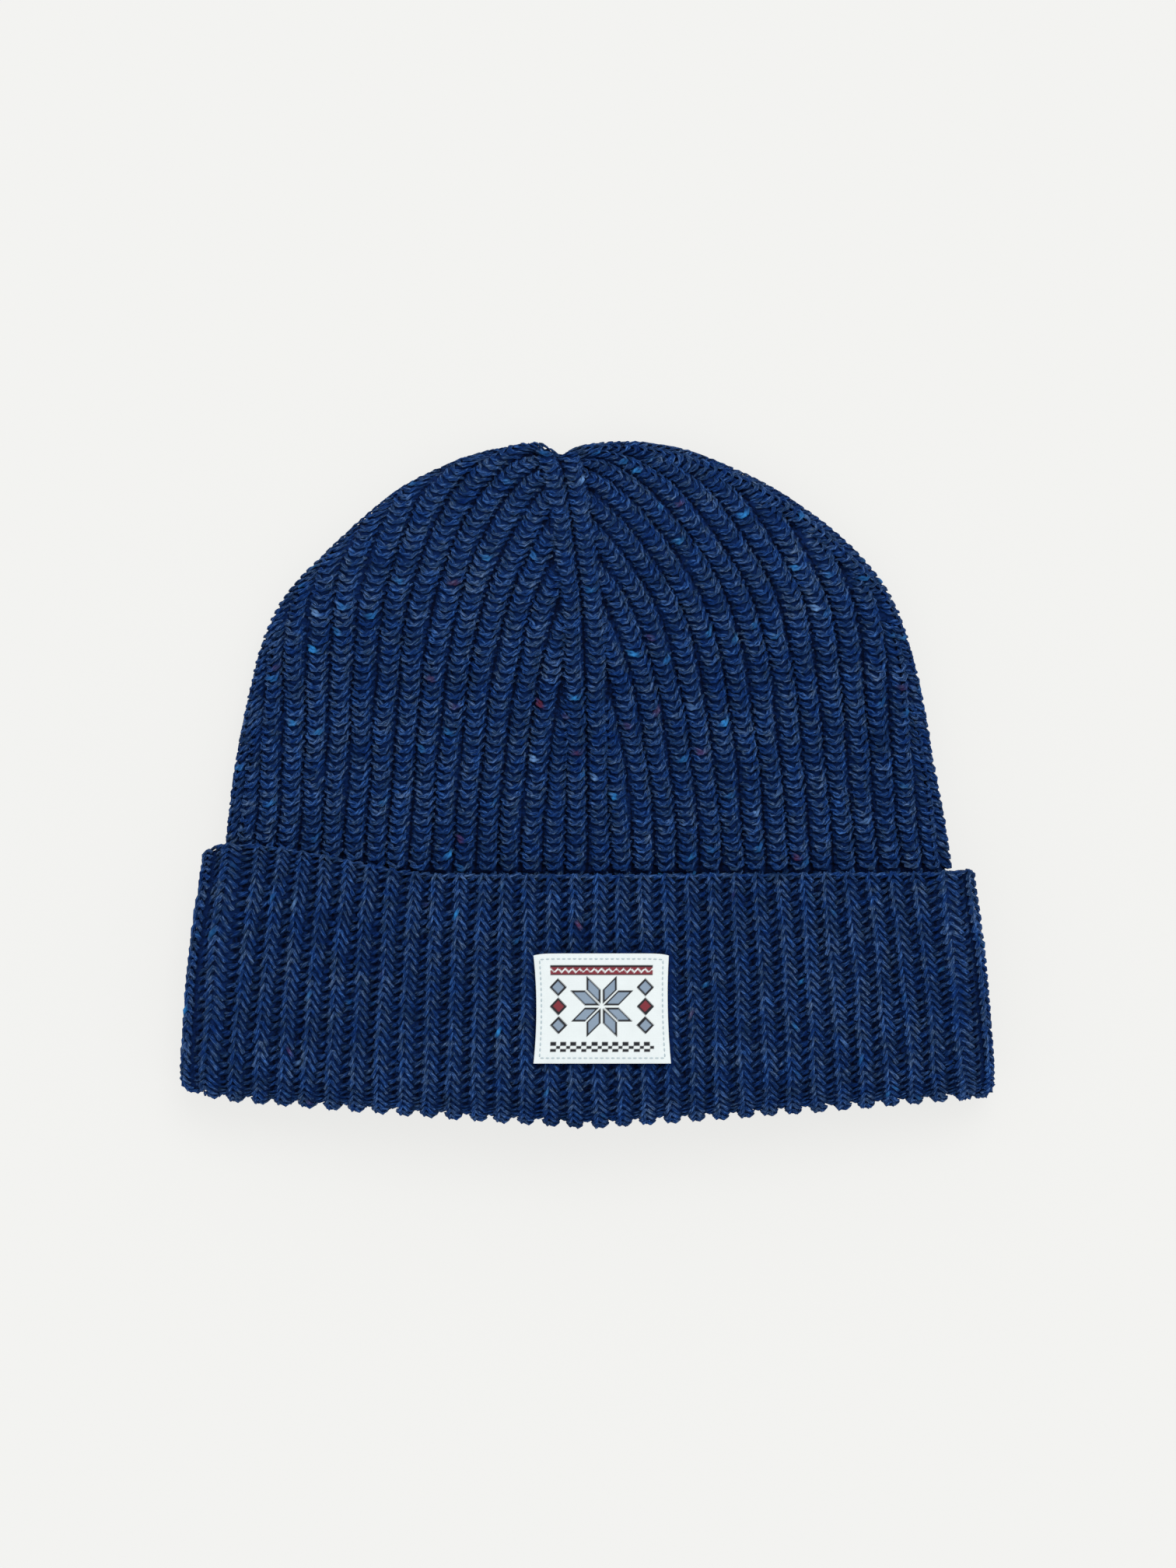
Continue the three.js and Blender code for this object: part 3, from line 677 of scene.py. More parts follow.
def knit_height(width, row, turned):
    """The share of its height that a rib of that share of the full width keeps. The knit lies
    flatter near the gather, and at its side folds where turned is 1."""
    upwards = 1 - 0.3 * smoothstep(row, 7.5, 11)
    return np.clip(width * 1.15, 0.35, 1) * upwards * (1 - 0.35 * turned)


def place_on_crown(tube, lines, yarn, points):
    """Carries each stitch's points (u across the rib, v along it, w out of it) to the crown. From
    the rib's centre line at start + v, a step u at right angles to the line is u cos(lean) across
    and -u sin(lean) along the tube. Nothing goes below the surface that the cap lies on."""
    u, v, w = points[..., 0], points[..., 1], points[..., 2]
    line = np.broadcast_to(lines.line[:, None], u.shape)
    at = lines.sample(line, lines.start[:, None] + v)
    u = u * at["width"]
    rows = np.clip(-u * at["lean_sin"] / np.maximum(at["climb"], 0.0012), -0.6, 0.6)
    around = at["around"] + (u * at["lean_cos"] - at["drift"] * rows) / at["perimeter"]
    row = np.clip(at["row"] + rows, 2.7, APEX_ROW - 0.02)
    # The cuff presses a stitch in as a whole, by where the fourth of its points lies.
    pressed = pressed_by_cuff(tube, at["row"][:, 3], at["around"][:, 3], 0.09, 0.2)[:, None]
    out = tube.directions(row, around)[2]
    turned = side_turn(out)
    outwards = (w * knit_height(at["width"], at["row"], turned) - yarn.side_sink * turned
                - at["dive"] + yarn.crown_proud - yarn.edge_sink * pressed)
    placed = tube.point(row, around) + out * outwards[..., None]
    placed[..., 2] = np.maximum(placed[..., 2], FLOOR_CLEARANCE)
    return placed


def crown_stitch(yarn, pitch, angle):
    """One loop of the crown's rib: a wide shallow U across the rib that dips into the grooves at
    both ends. With a from -1 to 1, u = reach a, v rises as |a|^2.1, higher on the right, and w
    falls as |a|^3.2."""
    a = np.linspace(-1, 1, 7)
    reach = yarn.loop_reach * pitch
    rise = yarn.loop_rise * np.abs(a) ** 2.1 * np.where(a < 0, 0.75, 1.1)
    drop = yarn.rib_depth * np.abs(a) ** 3.2
    half = yarn.crown_ply + yarn.crown_spread
    path = np.stack([reach * a, rise - yarn.loop_rise * 0.35, -half - drop], axis=-1)
    radius = yarn.crown_ply * (1 - 0.12 * a**4)
    return joined(twisted(path, radius, 5, yarn.crown_spread, angle, 1.5))


def jittered(shapes, rng, slip, swell, weight):
    """Copies of shapes that differ only in their points, one for each row of weight. Each copy is
    one of them by chance, moved and tilted a little, as yarn in a knit is, and swollen by 22%
    where it carries a fleck of full weight."""
    count = len(weight)
    kind = rng.integers(len(shapes), size=count)
    move = rng.normal(0, slip, (count, 1, 3)) * np.array([1.0, 0.8, 0.55])
    tilt = rng.normal(0, 0.07, (count, 1))
    scale = 1 + rng.normal(0, swell, (count, 1, 1)) + 0.22 * weight[..., None]
    centre, spread = np.stack([s.centre for s in shapes]), np.stack([s.spread for s in shapes])
    points = centre[kind] + spread[kind] * scale + move
    points[..., 1] += points[..., 0] * tilt
    return points


def wander(size, place, first, second):
    """How far a rib strays to the side at each place along it: two sines of different length."""
    (length, phase), (other_length, other_phase) = first, second
    return size * (np.sin(place / length + phase) + np.sin(place / other_length + other_phase))


def build_crown_knit(tube, yarn, material):
    """The crown's ribs, one piece for each gore."""
    lines = RibLines(tube, yarn)
    shapes = [crown_stitch(yarn, lines.pitch, angle) for angle in (-0.5, 0, 0.5, 1.0)]
    rng = np.random.default_rng(yarn.seed)
    across = lines.sample(lines.line, lines.start)["around"] * RIBS
    weight, fleck, tone = dyed(yarn, rng, shapes[0], across, lines.course.astype(float))
    points = jittered(shapes, rng, 0.0001, 0.05, weight)
    points[..., 0] += wander(0.00022, lines.start, (0.0093, lines.line * 2.4),
                             (0.0047, lines.line))[:, None]
    placed = place_on_crown(tube, lines, yarn, points)
    for gore, name in enumerate(GORE_NAMES):
        mine = lines.line // GORE_RIBS == gore
        piece = make_knit(f"crown_knit_{name}", shapes[0], placed[mine], tone[mine], fleck[mine],
                          material, rng)
        settle(piece, "crown_knit", *(["crown"] if gore == 0 else []))


def rib_relief(tube, yarn, row, around):
    """The crown's ribs: 1 on their crests and 0 in the grooves between them, how far a rib has
    dived beside the outermost ones, and its width as a share of the full one. In a gore of width
    2 half, the outermost ribs have the width w and lie at half - w / 2 from its middle, and the
    others are whole spacings from it. The swell is 1/2 + 1/2 cos(2 pi distance / width)."""
    perimeter = tube.at("perimeter", row)
    half = perimeter / (2 * GORES)
    x = (np.mod(around * GORES, 1) - 0.5) * 2 * half
    pitch = tube.at("perimeter", CUFF_TOP_ROW) / RIBS
    width = np.minimum(pitch, half)
    spacing = perimeter / (RIBS * tube.at("ribs", row))
    outermost = np.abs(x) > half - width
    phase = np.where(outermost, (np.abs(x) - half + width / 2) / width, x / spacing)
    dive = yarn.rib_dive * rib_end(x, half - width, spacing)
    full = tube.at("ribs", row) > 0.98
    return (0.5 + 0.5 * np.cos(2 * np.pi * phase), np.where(outermost | full, 0.0, dive),
            np.where(outermost, width, spacing) / pitch)


def build_crown_backing(tube, yarn, material):
    """The inner strands of the crown's knit as a closed shell under its loops, with the same ribs
    on its outer face. Its inner face has soft ribs of its own. Its rings run up the outer face
    from the fold to the gather, and down the inner one."""
    columns = RIBS * 6
    ring = np.arange(columns)
    around, after = ring / columns, (ring + 1) % columns
    wall = tube.shape.knit_wall
    outer_rows = np.concatenate([np.linspace(0, 2.7, 6), np.arange(3, 4, 0.1),
                                 np.linspace(4, APEX_ROW, 50)])
    inside = yarn.inside_reach * CUFF_TOP_ROW / (tube.shape.cuff_height - tube.fold_radius)
    inner_rows = np.concatenate([np.linspace(INNER_TIP_ROW, 1.2, 13), [inside],
                                 np.linspace(inside - 0.15, 0, 4)])
    rings, painted_light = [], []
    for r in outer_rows:
        row = np.full(columns, r)
        swell, dive, width = rib_relief(tube, yarn, row, around)
        turned = side_turn(tube.directions(row, around)[2])
        pressed = pressed_by_cuff(tube, row, around, 0.03, 0.16)
        depth = yarn.backing_depth + yarn.groove_depth * (1 - swell)
        depth = depth * knit_height(width, row, turned) + dive + yarn.edge_sink * pressed
        ribbed = np.maximum(yarn.crown_proud - yarn.side_sink * turned - depth, -0.75 * wall)
        covered, at_tip = 1 - smoothstep(r, 2.6, 2.8), smoothstep(r, 13.5, APEX_ROW)
        outwards = ribbed * (1 - at_tip) - 0.001 * at_tip
        rings.append(tube.offset(row, around, outwards * (1 - covered) - 0.0006 * covered))
        # Painted shade: darker towards the grooves, where a rib dives beside the outermost ones, and
        # where the cuff's top edge presses the crown in.
        painted_light.append(np.sqrt(swell) * (1 - pressed) * (1 - 0.773 * dive / yarn.rib_dive))
    for r in inner_rows:
        covered = 1 - smoothstep(r, inside - 0.15, inside)
        soft = 0.0003 * rib_relief(tube, yarn, np.full(columns, min(r, 6.0)), around)[0]
        outwards = soft - wall + 0.0002 + covered * 0.0016
        rings.append(tube.offset(np.full(columns, r), around, outwards))
        painted_light.append(np.full(columns, 0.75))
    tips = [(tube.at("centre", r), tube.at("middle", r) + FOLD_Y + ahead,
             tube.at("base", r) + tube.at("radius", r))
            for r, ahead in ((APEX_ROW, 0), (INNER_TIP_ROW, 0.001))]
    points = np.concatenate([*rings, tips])
    points[:, 2] = np.maximum(points[:, 2], 2 * FLOOR_CLEARANCE)

    first_inner, count = len(outer_rows), len(rings)
    top, inner_top, last = (n * columns for n in (first_inner - 1, first_inner, count - 1))
    quads = np.concatenate([
        grid_corners(first_inner, columns, wrap_columns=True),
        grid_corners(count - first_inner, columns, wrap_columns=True) + inner_top,
        np.stack([last + ring, last + after, after, ring], axis=-1)])
    apex, inner_tip = np.full(columns, count * columns), np.full(columns, count * columns + 1)
    faces = make_faces(quads, np.stack([top + ring, top + after, apex], axis=-1),
                       np.stack([inner_top + after, inner_top + ring, inner_tip], axis=-1))
    painted_light = np.concatenate([*painted_light, [0.75, 0.75]])
    settle(make_piece("crown_backing", points, faces, material, values={"painted_light": painted_light}),
           "crown_knit")


# The cuff's knit.


def cuff_stitch(yarn, angle):
    """One stitch of the cuff: two legs leaning together towards the cuff's top edge, on the raised
    column, and one bar in the sunken column beside it, rising to the right. The left leg is nearly
    upright and the right one slants. Both dip at their upper ends, under the next stitch's."""
    a = np.linspace(0, 1, 3)
    half = yarn.cuff_ply + yarn.cuff_spread
    dip = -half + 0.0001 - 0.0005 * (1 - a) ** 1.5 - 0.0007 * a**2
    left = np.stack([-0.0021 + 0.0015 * a, -0.0016 + 0.0033 * a, dip], axis=-1)
    right = np.stack([0.0018 - 0.0020 * a, -0.0014 + 0.0027 * a, dip - 0.0001], axis=-1)
    b = np.linspace(-1, 1, 3)
    bar = np.stack([yarn.cuff_pitch / 2 + 0.0014 * b, 0.00045 + 0.0006 * b,
                    -half - yarn.purl_depth - 0.0004 * b**2], axis=-1)
    radius = yarn.cuff_ply * np.array([0.86, 1.06, 0.86])
    turns = 0.45
    return joined(twisted(left, radius, 4, yarn.cuff_spread, angle, turns)
                  + twisted(right, radius, 4, yarn.cuff_spread, angle, turns, 7)
                  + twisted(bar, radius * 1.15, 4, yarn.cuff_spread * 1.5, angle, turns, 14))


def place_on_cuff(tube, yarn, label, rib, down, points, lift):
    """Carries points (u, v, w) to the cuff's face, where u is across the ribs, v runs towards the
    cuff's top edge and w is out of the knit."""
    around = (rib[:, None] + points[..., 0] / yarn.cuff_pitch) / RIBS
    below = down[:, None] - points[..., 1]
    outwards = points[..., 2] + lift - scallop(tube, around, below)
    return pressed_by_label(label, tube.cuff_face(around, below, outwards))


def rib_crest(around):
    """1 in the middle of the cuff's raised columns and 0 in the middle of its sunken ones."""
    return 0.5 + 0.5 * np.cos(2 * np.pi * (RIBS * around - 0.5))


def scallop(tube, around, down):
    """How much deeper the sunken columns lie where the knit is turned round the fold."""
    turn = np.pi * tube.fold_radius
    from_fold = np.abs(down - (tube.shape.cuff_height - tube.fold_radius) - turn / 2) / turn
    return tube.shape.scallop * (1 - rib_crest(around)) * (1 - smoothstep(from_fold, 0.45, 1.1))


def pressed_by_label(label, points):
    """The seam pulls the label down into the knit: on the front, under the label and a little way
    round it, by the distance d outside its edge, the knit lies deeper by 1 - smoothstep(d)."""
    beside = np.abs(points[..., 0] - label.right) - label.width / 2
    above = np.abs(points[..., 1] - FOLD_Y - label.rise) - label.height / 2
    outside = np.hypot(np.maximum(beside, 0), np.maximum(above, 0))
    front = smoothstep(points[..., 2], 0.016, 0.022)
    points[..., 2] -= label.sink * front * (1 - smoothstep(outside, 0.0003, 0.0024))
    points[..., 2] = np.maximum(points[..., 2], FLOOR_CLEARANCE)
    return points


def build_cuff_knit(tube, yarn, label, material):
    """The cuff's ribs, from its top edge round the fold and on inside the mouth, gore by gore."""
    shapes = [cuff_stitch(yarn, angle) for angle in (-0.35, 0, 0.35)]
    # A stitch's points belong to its three yarns in turn, and the third one is the sunken bar.
    size, parts = len(shapes[0].along), shapes[0].parts
    sunken = np.arange(size) * parts // size == 2
    round_the_fold = tube.shape.cuff_height + (np.pi - 1) * tube.fold_radius
    courses = int((round_the_fold + yarn.inside_reach) / yarn.course)
    rng = np.random.default_rng(yarn.seed + 1)
    for gore, name in enumerate(GORE_NAMES):
        rib = np.repeat(gore * GORE_RIBS + np.arange(GORE_RIBS) + 0.5, courses)
        course = np.tile(np.arange(courses), GORE_RIBS)
        down = FIRST_STITCH + course * yarn.course
        weight, fleck, tone = dyed(yarn, np.random.default_rng(yarn.seed + 20 + gore), shapes[0],
                                   rib, course.astype(float))
        points = jittered(shapes, rng, 0.00009, 0.05, weight)
        points[..., 0] += wander(0.00016, down, (0.0111, rib * 2.1), (0.0052, rib * 1.3))[:, None]
        placed = place_on_cuff(tube, yarn, label, rib, down, points, yarn.cuff_proud)
        # Each stitch's tone is raised by 0.06, and its bar in the sunken column is made darker, as
        # painted shade.
        piece = make_knit(f"cuff_knit_{name}", shapes[0], placed,
                          tone + 0.06 - yarn.purl_painted_shade * sunken, fleck, material, rng)
        settle(piece, "cuff_knit", *(["cuff"] if gore == 0 else []))


def build_cuff_edge(tube, yarn, label, material):
    """The cast-on edge: two rows of short slanting strands laid end to end over the cuff's top."""
    a = np.linspace(-1, 1, 4)
    step = yarn.cuff_pitch / 2
    half = yarn.cuff_ply + yarn.cuff_spread
    radius = yarn.cuff_ply * np.array([0.8, 1, 1, 0.8])
    plies = []
    for depth in (-half - 0.0001, -tube.shape.knit_wall + half + 0.0003):
        path = np.stack([step * 0.62 * a, 0.0004 * a, depth - 0.0003 * a**2], axis=-1)
        plies += twisted(path, radius, 5, yarn.cuff_spread, 0.0, 0.6)
    shape = joined(plies)
    rib = np.arange(RIBS * 2) / 2 + 0.25
    rng = np.random.default_rng(yarn.seed + 2)
    weight, fleck, tone = dyed(yarn, rng, shape, rib, np.zeros(len(rib)))
    points = jittered([shape], rng, 0.0001, 0.06, weight)
    placed = place_on_cuff(tube, yarn, label, rib, np.full(len(rib), 0.0003), points, -0.0007)
    settle(make_knit("cuff_edge", shape, placed, tone, fleck, material, rng), "cuff_knit")


def build_cuff_backing(tube, yarn, material):
    """The inner strands of the cuff's knit: a closed band that goes down inside its outer face,
    round the fold, and back up on the side that faces the tube."""
    columns = RIBS * 4
    around = np.arange(columns) / columns
    wall, turn = tube.shape.knit_wall, np.pi * tube.fold_radius
    length = tube.shape.cuff_height - tube.fold_radius
    column = rib_crest(around)
    outer_down = np.concatenate([[FIRST_STITCH], np.linspace(0.004, length, 22),
                                 length + turn * np.linspace(0.1, 1, 9)])
    back_down = np.concatenate([length + turn * np.linspace(1, 0, 9),
                                np.linspace(length, FIRST_STITCH, 12)[1:]])
    rings = []
    for d in outer_down:
        outwards = -0.0013 - 0.0018 * (1 - column) - 0.7 * scallop(tube, around, d)
        outwards = np.maximum(outwards, 0.0006 - wall)
        rings.append(tube.cuff_face(around, np.full(columns, d), outwards))
    back = np.full(columns, 0.0003 - wall)
    rings += [tube.cuff_face(around, np.full(columns, d), back) for d in back_down]
    quads = grid_corners(len(rings), columns, wrap_rows=True, wrap_columns=True)[:, ::-1]
    # Painted shade: the inner strands are darker in the sunken columns than under the raised ones.
    piece = make_piece("cuff_backing", np.concatenate(rings), make_faces(quads), material,
                       values={"painted_light": np.tile(0.13 + 0.47 * column, len(rings))})
    settle(piece, "cuff_knit")


# The label.


def label_design(label, x, y):
    """The colour of each thread of the label's face: a knitter's eight-petal star between two
    columns of lozenges, with a zigzag band above and a row of blocks below. x and y are
    millimetres from the middle. In one eighth of the star, a petal is the points whose smaller
    coordinate is under the petal's width and whose larger one exceeds it by less than the
    petal's length."""
    colour = np.empty((*x.shape, 4))
    colour[:] = srgb(label.ground)

    def paint(mask, name):
        colour[mask] = srgb(name)

    ax, ay = np.abs(x), np.abs(y - 0.6)
    small, big = np.minimum(ax, ay), np.maximum(ax, ay)
    petal = (small > 0.28) & (small < 4.3) & (big - small > 0.28) & (big - small < 4.3)
    core = (small > 0.8) & (small < 3.7) & (big - small > 0.8) & (big - small < 3.7)
    paint(petal, label.ink)
    paint(core, label.slate)
    for centre_y in (-4.6, 0.6, 5.8):
        for side in (-1, 1):
            lozenge = np.abs(x - side * 12.0) + np.abs(y - centre_y)
            paint(lozenge < 2.5, label.ink)
            paint(lozenge < 1.6, label.red if centre_y == 0.6 else label.slate)
    wide = ax < 14.2
    wave = np.abs((x + 1.0) % 2.0 - 1.0) * 0.9
    upper = y - 10.4
    paint(wide & (np.abs(upper) < 1.35), label.ink)
    paint(wide & (np.abs(upper) < 0.95), label.red)
    paint(wide & (np.abs(upper + wave - 0.45) < 0.22), label.ground)
    lower = y + 10.5
    steps = (x + 14.2) % 2.84
    paint(wide & (np.abs(lower) < 1.3) & ((steps < 1.62) ^ (np.abs(lower) < 0.42)), label.ink)
    return colour


def label_surface(tube, label, s, t, w):
    """The label's face: s and t run from -1 to 1 across and up, and w is out of the cuff's ribs.
    Its left edge is drawn in between its corners, and the corners stand off the knit a little."""
    drawn_in = np.where(s < 0, 0.0008, 0.0006) * (1 - t * t) - np.where(s < 0, 0.0002, 0) * t
    x = s * label.width / 2 - np.sign(s) * s * s * drawn_in
    y = t * label.height / 2 - 0.0006 * np.abs(s) ** 10 * np.maximum(t, 0) ** 2
    perimeter, centre = tube.at("perimeter", 1.3), tube.at("centre", 1.3)
    around = (label.right + x - centre) / perimeter
    row = tube.row_at_height(label.rise + y, around)
    out = tube.directions(row, around)[2][..., 2]
    corner = (np.abs(s) * np.abs(t)) ** 4
    pillow = 0.00035 * (1 - s**6) * (1 - t**6) + 0.0003 * corner
    wave = 0.00012 * np.sin(s * label.width / 2 * 2 * np.pi / 0.0068) * np.abs(t) ** 3
    outwards = tube.cuff_gap(row, out) + tube.shape.knit_wall + w + pillow + wave
    return tube.offset(row, around, outwards)


def build_label(tube, label, material):
    """The woven label: a thin closed sheet, with a colour at each thread of its face."""
    columns, rows = 134, 110
    count = rows * columns
    s, t = np.meshgrid(np.linspace(-1, 1, columns), np.linspace(-1, 1, rows))
    over = label_surface(tube, label, s, t, label.thickness).reshape(-1, 3)
    under = label_surface(tube, label, s, t, 0.0001).reshape(-1, 3)
    face = grid_corners(rows, columns)
    index = np.arange(count).reshape(rows, columns)
    rim = np.concatenate([index[0, :-1], index[:-1, -1], index[-1, :0:-1], index[:0:-1, 0]])
    after = np.roll(rim, -1)
    sides = np.stack([rim, rim + count, after + count, after], axis=-1)
    quads = np.concatenate([face, face[:, ::-1] + count, sides])
    ground = srgb(label.ground)
    design = label_design(label, s * label.width / 2 * 1000, t * label.height / 2 * 1000)
    design[np.maximum(np.abs(s), np.abs(t)) > 0.995] = ground
    dye = np.concatenate([design.reshape(-1, 4), np.broadcast_to(ground, (count, 4))])
    piece = make_piece("label_cloth", np.concatenate([over, under]), make_faces(quads), material,
                       colours={"dye": dye})
    settle(piece, "woven_label", "label")


def build_label_stitches(tube, label, material):
    """The running stitch round the label: short threads that dip into the cloth at both ends."""
    size = np.array([label.width, label.height])
    seam = np.array([(-1, -1), (1, -1), (1, 1), (-1, 1)]) * (1 - 2 * label.seam_inset / size)
    shown = label.stitch_length / label.stitch_pitch
    begin, finish = [], []
    for start, end in zip(seam, np.roll(seam, -1, axis=0)):
        count = int(round((np.abs(end - start) * size / 2).sum() / label.stitch_pitch))
        share = (np.arange(count)[:, None] + (1 - shown) / 2) / count
        begin.append(start + (end - start) * share)
        finish.append(start + (end - start) * (share + shown / count))
    begin, finish = np.concatenate(begin), np.concatenate(finish)
    a = np.linspace(0, 1, 5)
    rings, around = len(a), 6
    path = begin[:, None] * (1 - a)[None, :, None] + finish[:, None] * a[None, :, None]
    arc = np.sin(np.pi * a)
    centre = label_surface(tube, label, path[..., 0], path[..., 1],
                           label.thickness + label.thread_radius * (arc[None] * 1.1 - 0.45))
    tangent = unit(np.gradient(centre, axis=1))
    side = unit(np.cross(np.array([0, 0, 1.0]), tangent))
    normal = np.cross(tangent, side)
    q = np.arange(around) * 2 * np.pi / around
    radius = label.thread_radius * (0.6 + 0.4 * arc)
    rim = np.cos(q)[:, None] * side[:, :, None] + np.sin(q)[:, None] * normal[:, :, None]
    tubes = (centre[:, :, None] + rim * radius[None, :, None, None]).reshape(len(begin), -1, 3)
    points = np.concatenate([tubes, centre[:, :1], centre[:, -1:]], axis=1)
    corners, starts = tube_faces(rings, around)
    copy = np.arange(len(points))[:, None]
    faces = (copy * points.shape[1] + corners).ravel(), (copy * len(corners) + starts).ravel()
    settle(make_piece("label_stitches", points.reshape(-1, 3), faces, material), "woven_label")


# Settings.


def metres(name, description, default):
    """A length in metres."""
    return bpy.props.FloatProperty(name=name, description=description, default=default,
                                   unit="LENGTH", precision=5)


def number(name, description, default):
    """A share or another plain number."""
    return bpy.props.FloatProperty(name=name, description=description, default=default, precision=3)


def dye_colour(name, description, default):
    """A colour as #RRGGBB."""
    return bpy.props.StringProperty(name=name, description=description, default=default)


class CapShape(bpy.types.PropertyGroup):
    """The sizes of the knitted tube and of its cuff."""
    body_width: metres("Body width", "The tube laid flat, where it goes into the cuff", 0.2)
    cuff_height: metres("Cuff height", "From the fold to the cuff's top edge", 0.0696)
    crown_height: metres("Crown height", "From the cuff's top edge to the top", 0.1196)
    cuff_flare: metres("Cuff flare", "How much wider each side of the tube lies at the fold", 0.0084)
    side_fold: metres("Side fold", "The tube's thickness where it folds at its sides", 0.016)
    arch: metres("Arch", "How far the front rises above the side folds", 0.007)
    knit_wall: metres("Knit wall", "One layer of knit", 0.0042)
    layer_gap: metres("Layer gap", "Between the tube and the cuff around it", 0.0004)
    cuff_slack: metres("Cuff slack", "How far the cuff's top edge stands off besides", 0.0018)
    hem_sag: metres("Hem sag", "How far the fold's middle hangs below its ends", 0.0079)
    lobe_rise: metres("Lobe rise", "How far the lobes beside the gather rise above it", 0.0038)
    dart_shift: metres("Dart shift", "How far the gather lies left of the middle", 0.0076)
    corner_lift: metres("Corner lift", "How far the cuff's left corner is pulled up", 0.0074)
    corner_round: metres("Corner round", "How much the cuff's left corner is rounded off", 0.0046)
    fold_round: number("Fold rounding", "The fold's further rise at its left end, over its sag", 0.22)
    scallop: metres("Scallop", "How much deeper the sunken columns lie round the fold", 0.0011)


class CapYarn(bpy.types.PropertyGroup):
    """The yarn, its stitches and its colours."""
    course: metres("Course", "From one row of stitches to the next", 0.00248)
    crown_ply: metres("Crown ply", "Half a ply's thickness in the crown's two-ply yarn", 0.00049)
    crown_spread: metres("Crown twist", "From the middle of the crown's yarn to a ply's", 0.00050)
    cuff_ply: metres("Cuff ply", "Half a ply's thickness in the cuff's two-ply yarn", 0.00044)
    cuff_spread: metres("Cuff twist", "From the middle of the cuff's yarn to a ply's", 0.00027)
    loop_reach: number("Loop reach", "Half a crown loop's width over the rib's pitch", 0.40)
    cuff_pitch: metres("Cuff rib pitch", "From one rib of the cuff to the next", 0.00681)
    loop_rise: metres("Loop rise", "How far the crown's loops rise at their ends", 0.0028)
    rib_depth: metres("Rib depth", "How deep the crown's loops dip into the grooves", 0.0020)
    purl_depth: metres("Purl depth", "How deep the cuff's sunken columns lie", 0.0015)
    # Painted shade on the cuff's sunken bars.
    purl_painted_shade: number("Purl shade", "How much darker the bars in the sunken columns are", 0.28)
    backing_depth: metres("Backing depth", "The inner strands' depth under the loops' tops", 0.0017)
    groove_depth: metres("Groove depth", "The inner strands' further depth in the grooves", 0.0020)
    rib_dive: metres("Rib dive", "How deep a rib lies where it ends beside the outermost", 0.0017)
    side_sink: metres("Side sink", "How much lower the crown's knit lies at its side folds", 0.0002)
    edge_sink: metres("Edge sink", "How far the cuff presses the crown in at its top edge", 0.0024)
    inside_reach: metres("Inside reach", "How far the stitches go on inside the mouth", 0.020)
    crown_proud: metres("Crown proud", "How far its loops stand out of the solid's crests", 0.0007)
    cuff_proud: metres("Cuff proud", "How far its stitches stand out of the solid's crests", 0.0003)
    fleck_length: number("Fleck length", "The longest fleck's share of a stitch", 0.125)
    seed: bpy.props.IntProperty(
        name="Seed", description="Chooses the stitches' small differences", default=11)
    fleck_share: number("Flecks", "Share of stitches with a bright fleck", 0.013)
    faint_fleck_share: number("Faint flecks", "Share of stitches with a faint fleck", 0.045)
    yarn_dark: dye_colour("Dark fibre", "The darkest of the dyed fibres", "#031c4c")
    yarn_deep: dye_colour("Deep fibre", "The strands behind the loops", "#0a2557")
    # Painted shade: the nearly black colour of the inner strands in the grooves between the ribs.
    groove_shade: dye_colour("Groove", "The darkest of the strands, between the ribs", "#020d2a")
    yarn_mid: dye_colour("Middle fibre", "The yarn's main colour", "#17345f")
    yarn_light: dye_colour("Light fibre", "The lightest of the dyed fibres", "#5a7aab")
    haze: dye_colour("Haze", "The loose fibre at the surface", "#5f82bc")
    fleck_bright: dye_colour("Bright fleck", "The commonest flecks", "#2f84cc")
    fleck_pale: dye_colour("Pale fleck", "The palest flecks", "#6c96cc")
    fleck_red: dye_colour("Dark red fleck", "The rarest flecks", "#5c2434")


class CapLabel(bpy.types.PropertyGroup):
    """The woven label and the stitches that hold it."""
    width: metres("Width", "The label's width", 0.0369)
    height: metres("Height", "The label's height", 0.0301)
    thickness: metres("Thickness", "How far its face stands off the ribs' crests", 0.0009)
    right: metres("Right", "From the cap's middle to the label's middle", 0.0038)
    rise: metres("Rise", "From the fold to the label's middle", 0.0335)
    sink: metres("Sink", "How deep the seam pulls the knit down at the label's edge", 0.0013)
    seam_inset: metres("Seam inset", "From the label's edge to its stitches", 0.0015)
    stitch_pitch: metres("Stitch pitch", "From one stitch to the next", 0.00148)
    stitch_length: metres("Stitch length", "The part of a stitch that shows", 0.00092)
    thread_radius: metres("Thread radius", "Half the thread's thickness", 0.00017)
    ground: dye_colour("Ground", "The label's white ground", "#e0e8ea")
    ink: dye_colour("Black", "The label's darkest thread", "#1a1c22")
    slate: dye_colour("Slate", "The label's blue-grey thread", "#8496aa")
    red: dye_colour("Dark red", "The label's red thread", "#7c2c36")
    thread: dye_colour("Thread", "The sewing thread", "#c3d2d8")
    thread_shade: dye_colour("Thread shade", "The sewing thread's darker side", "#8fa2ac")


class CapStage(bpy.types.PropertyGroup):
    """The floor, the light and the camera."""
    floor_colour: dye_colour("Floor colour", "What the white sheet looks like", "#f3f3f1")
    floor_shade: number("Floor shade", "Share of the floor's light that shadows can take", 0.13)
    floor_light: number("Floor light", "The light that falls on the open floor", 1.18)
    frame_height: metres("Frame height", "What the photograph's long side takes in", 0.4314)
    camera_height: metres("Camera height", "From the cap's middle plane to the camera", 2.4)
    sky_strength: number("Sky", "Strength of the even light", 0.86)
    key_strength: number("Key", "Strength of the soft key light", 1.15)


def settings():
    """The four groups of settings of the current scene."""
    scene = bpy.context.scene
    return scene.cap_shape, scene.cap_yarn, scene.cap_label, scene.cap_stage


# Operators.


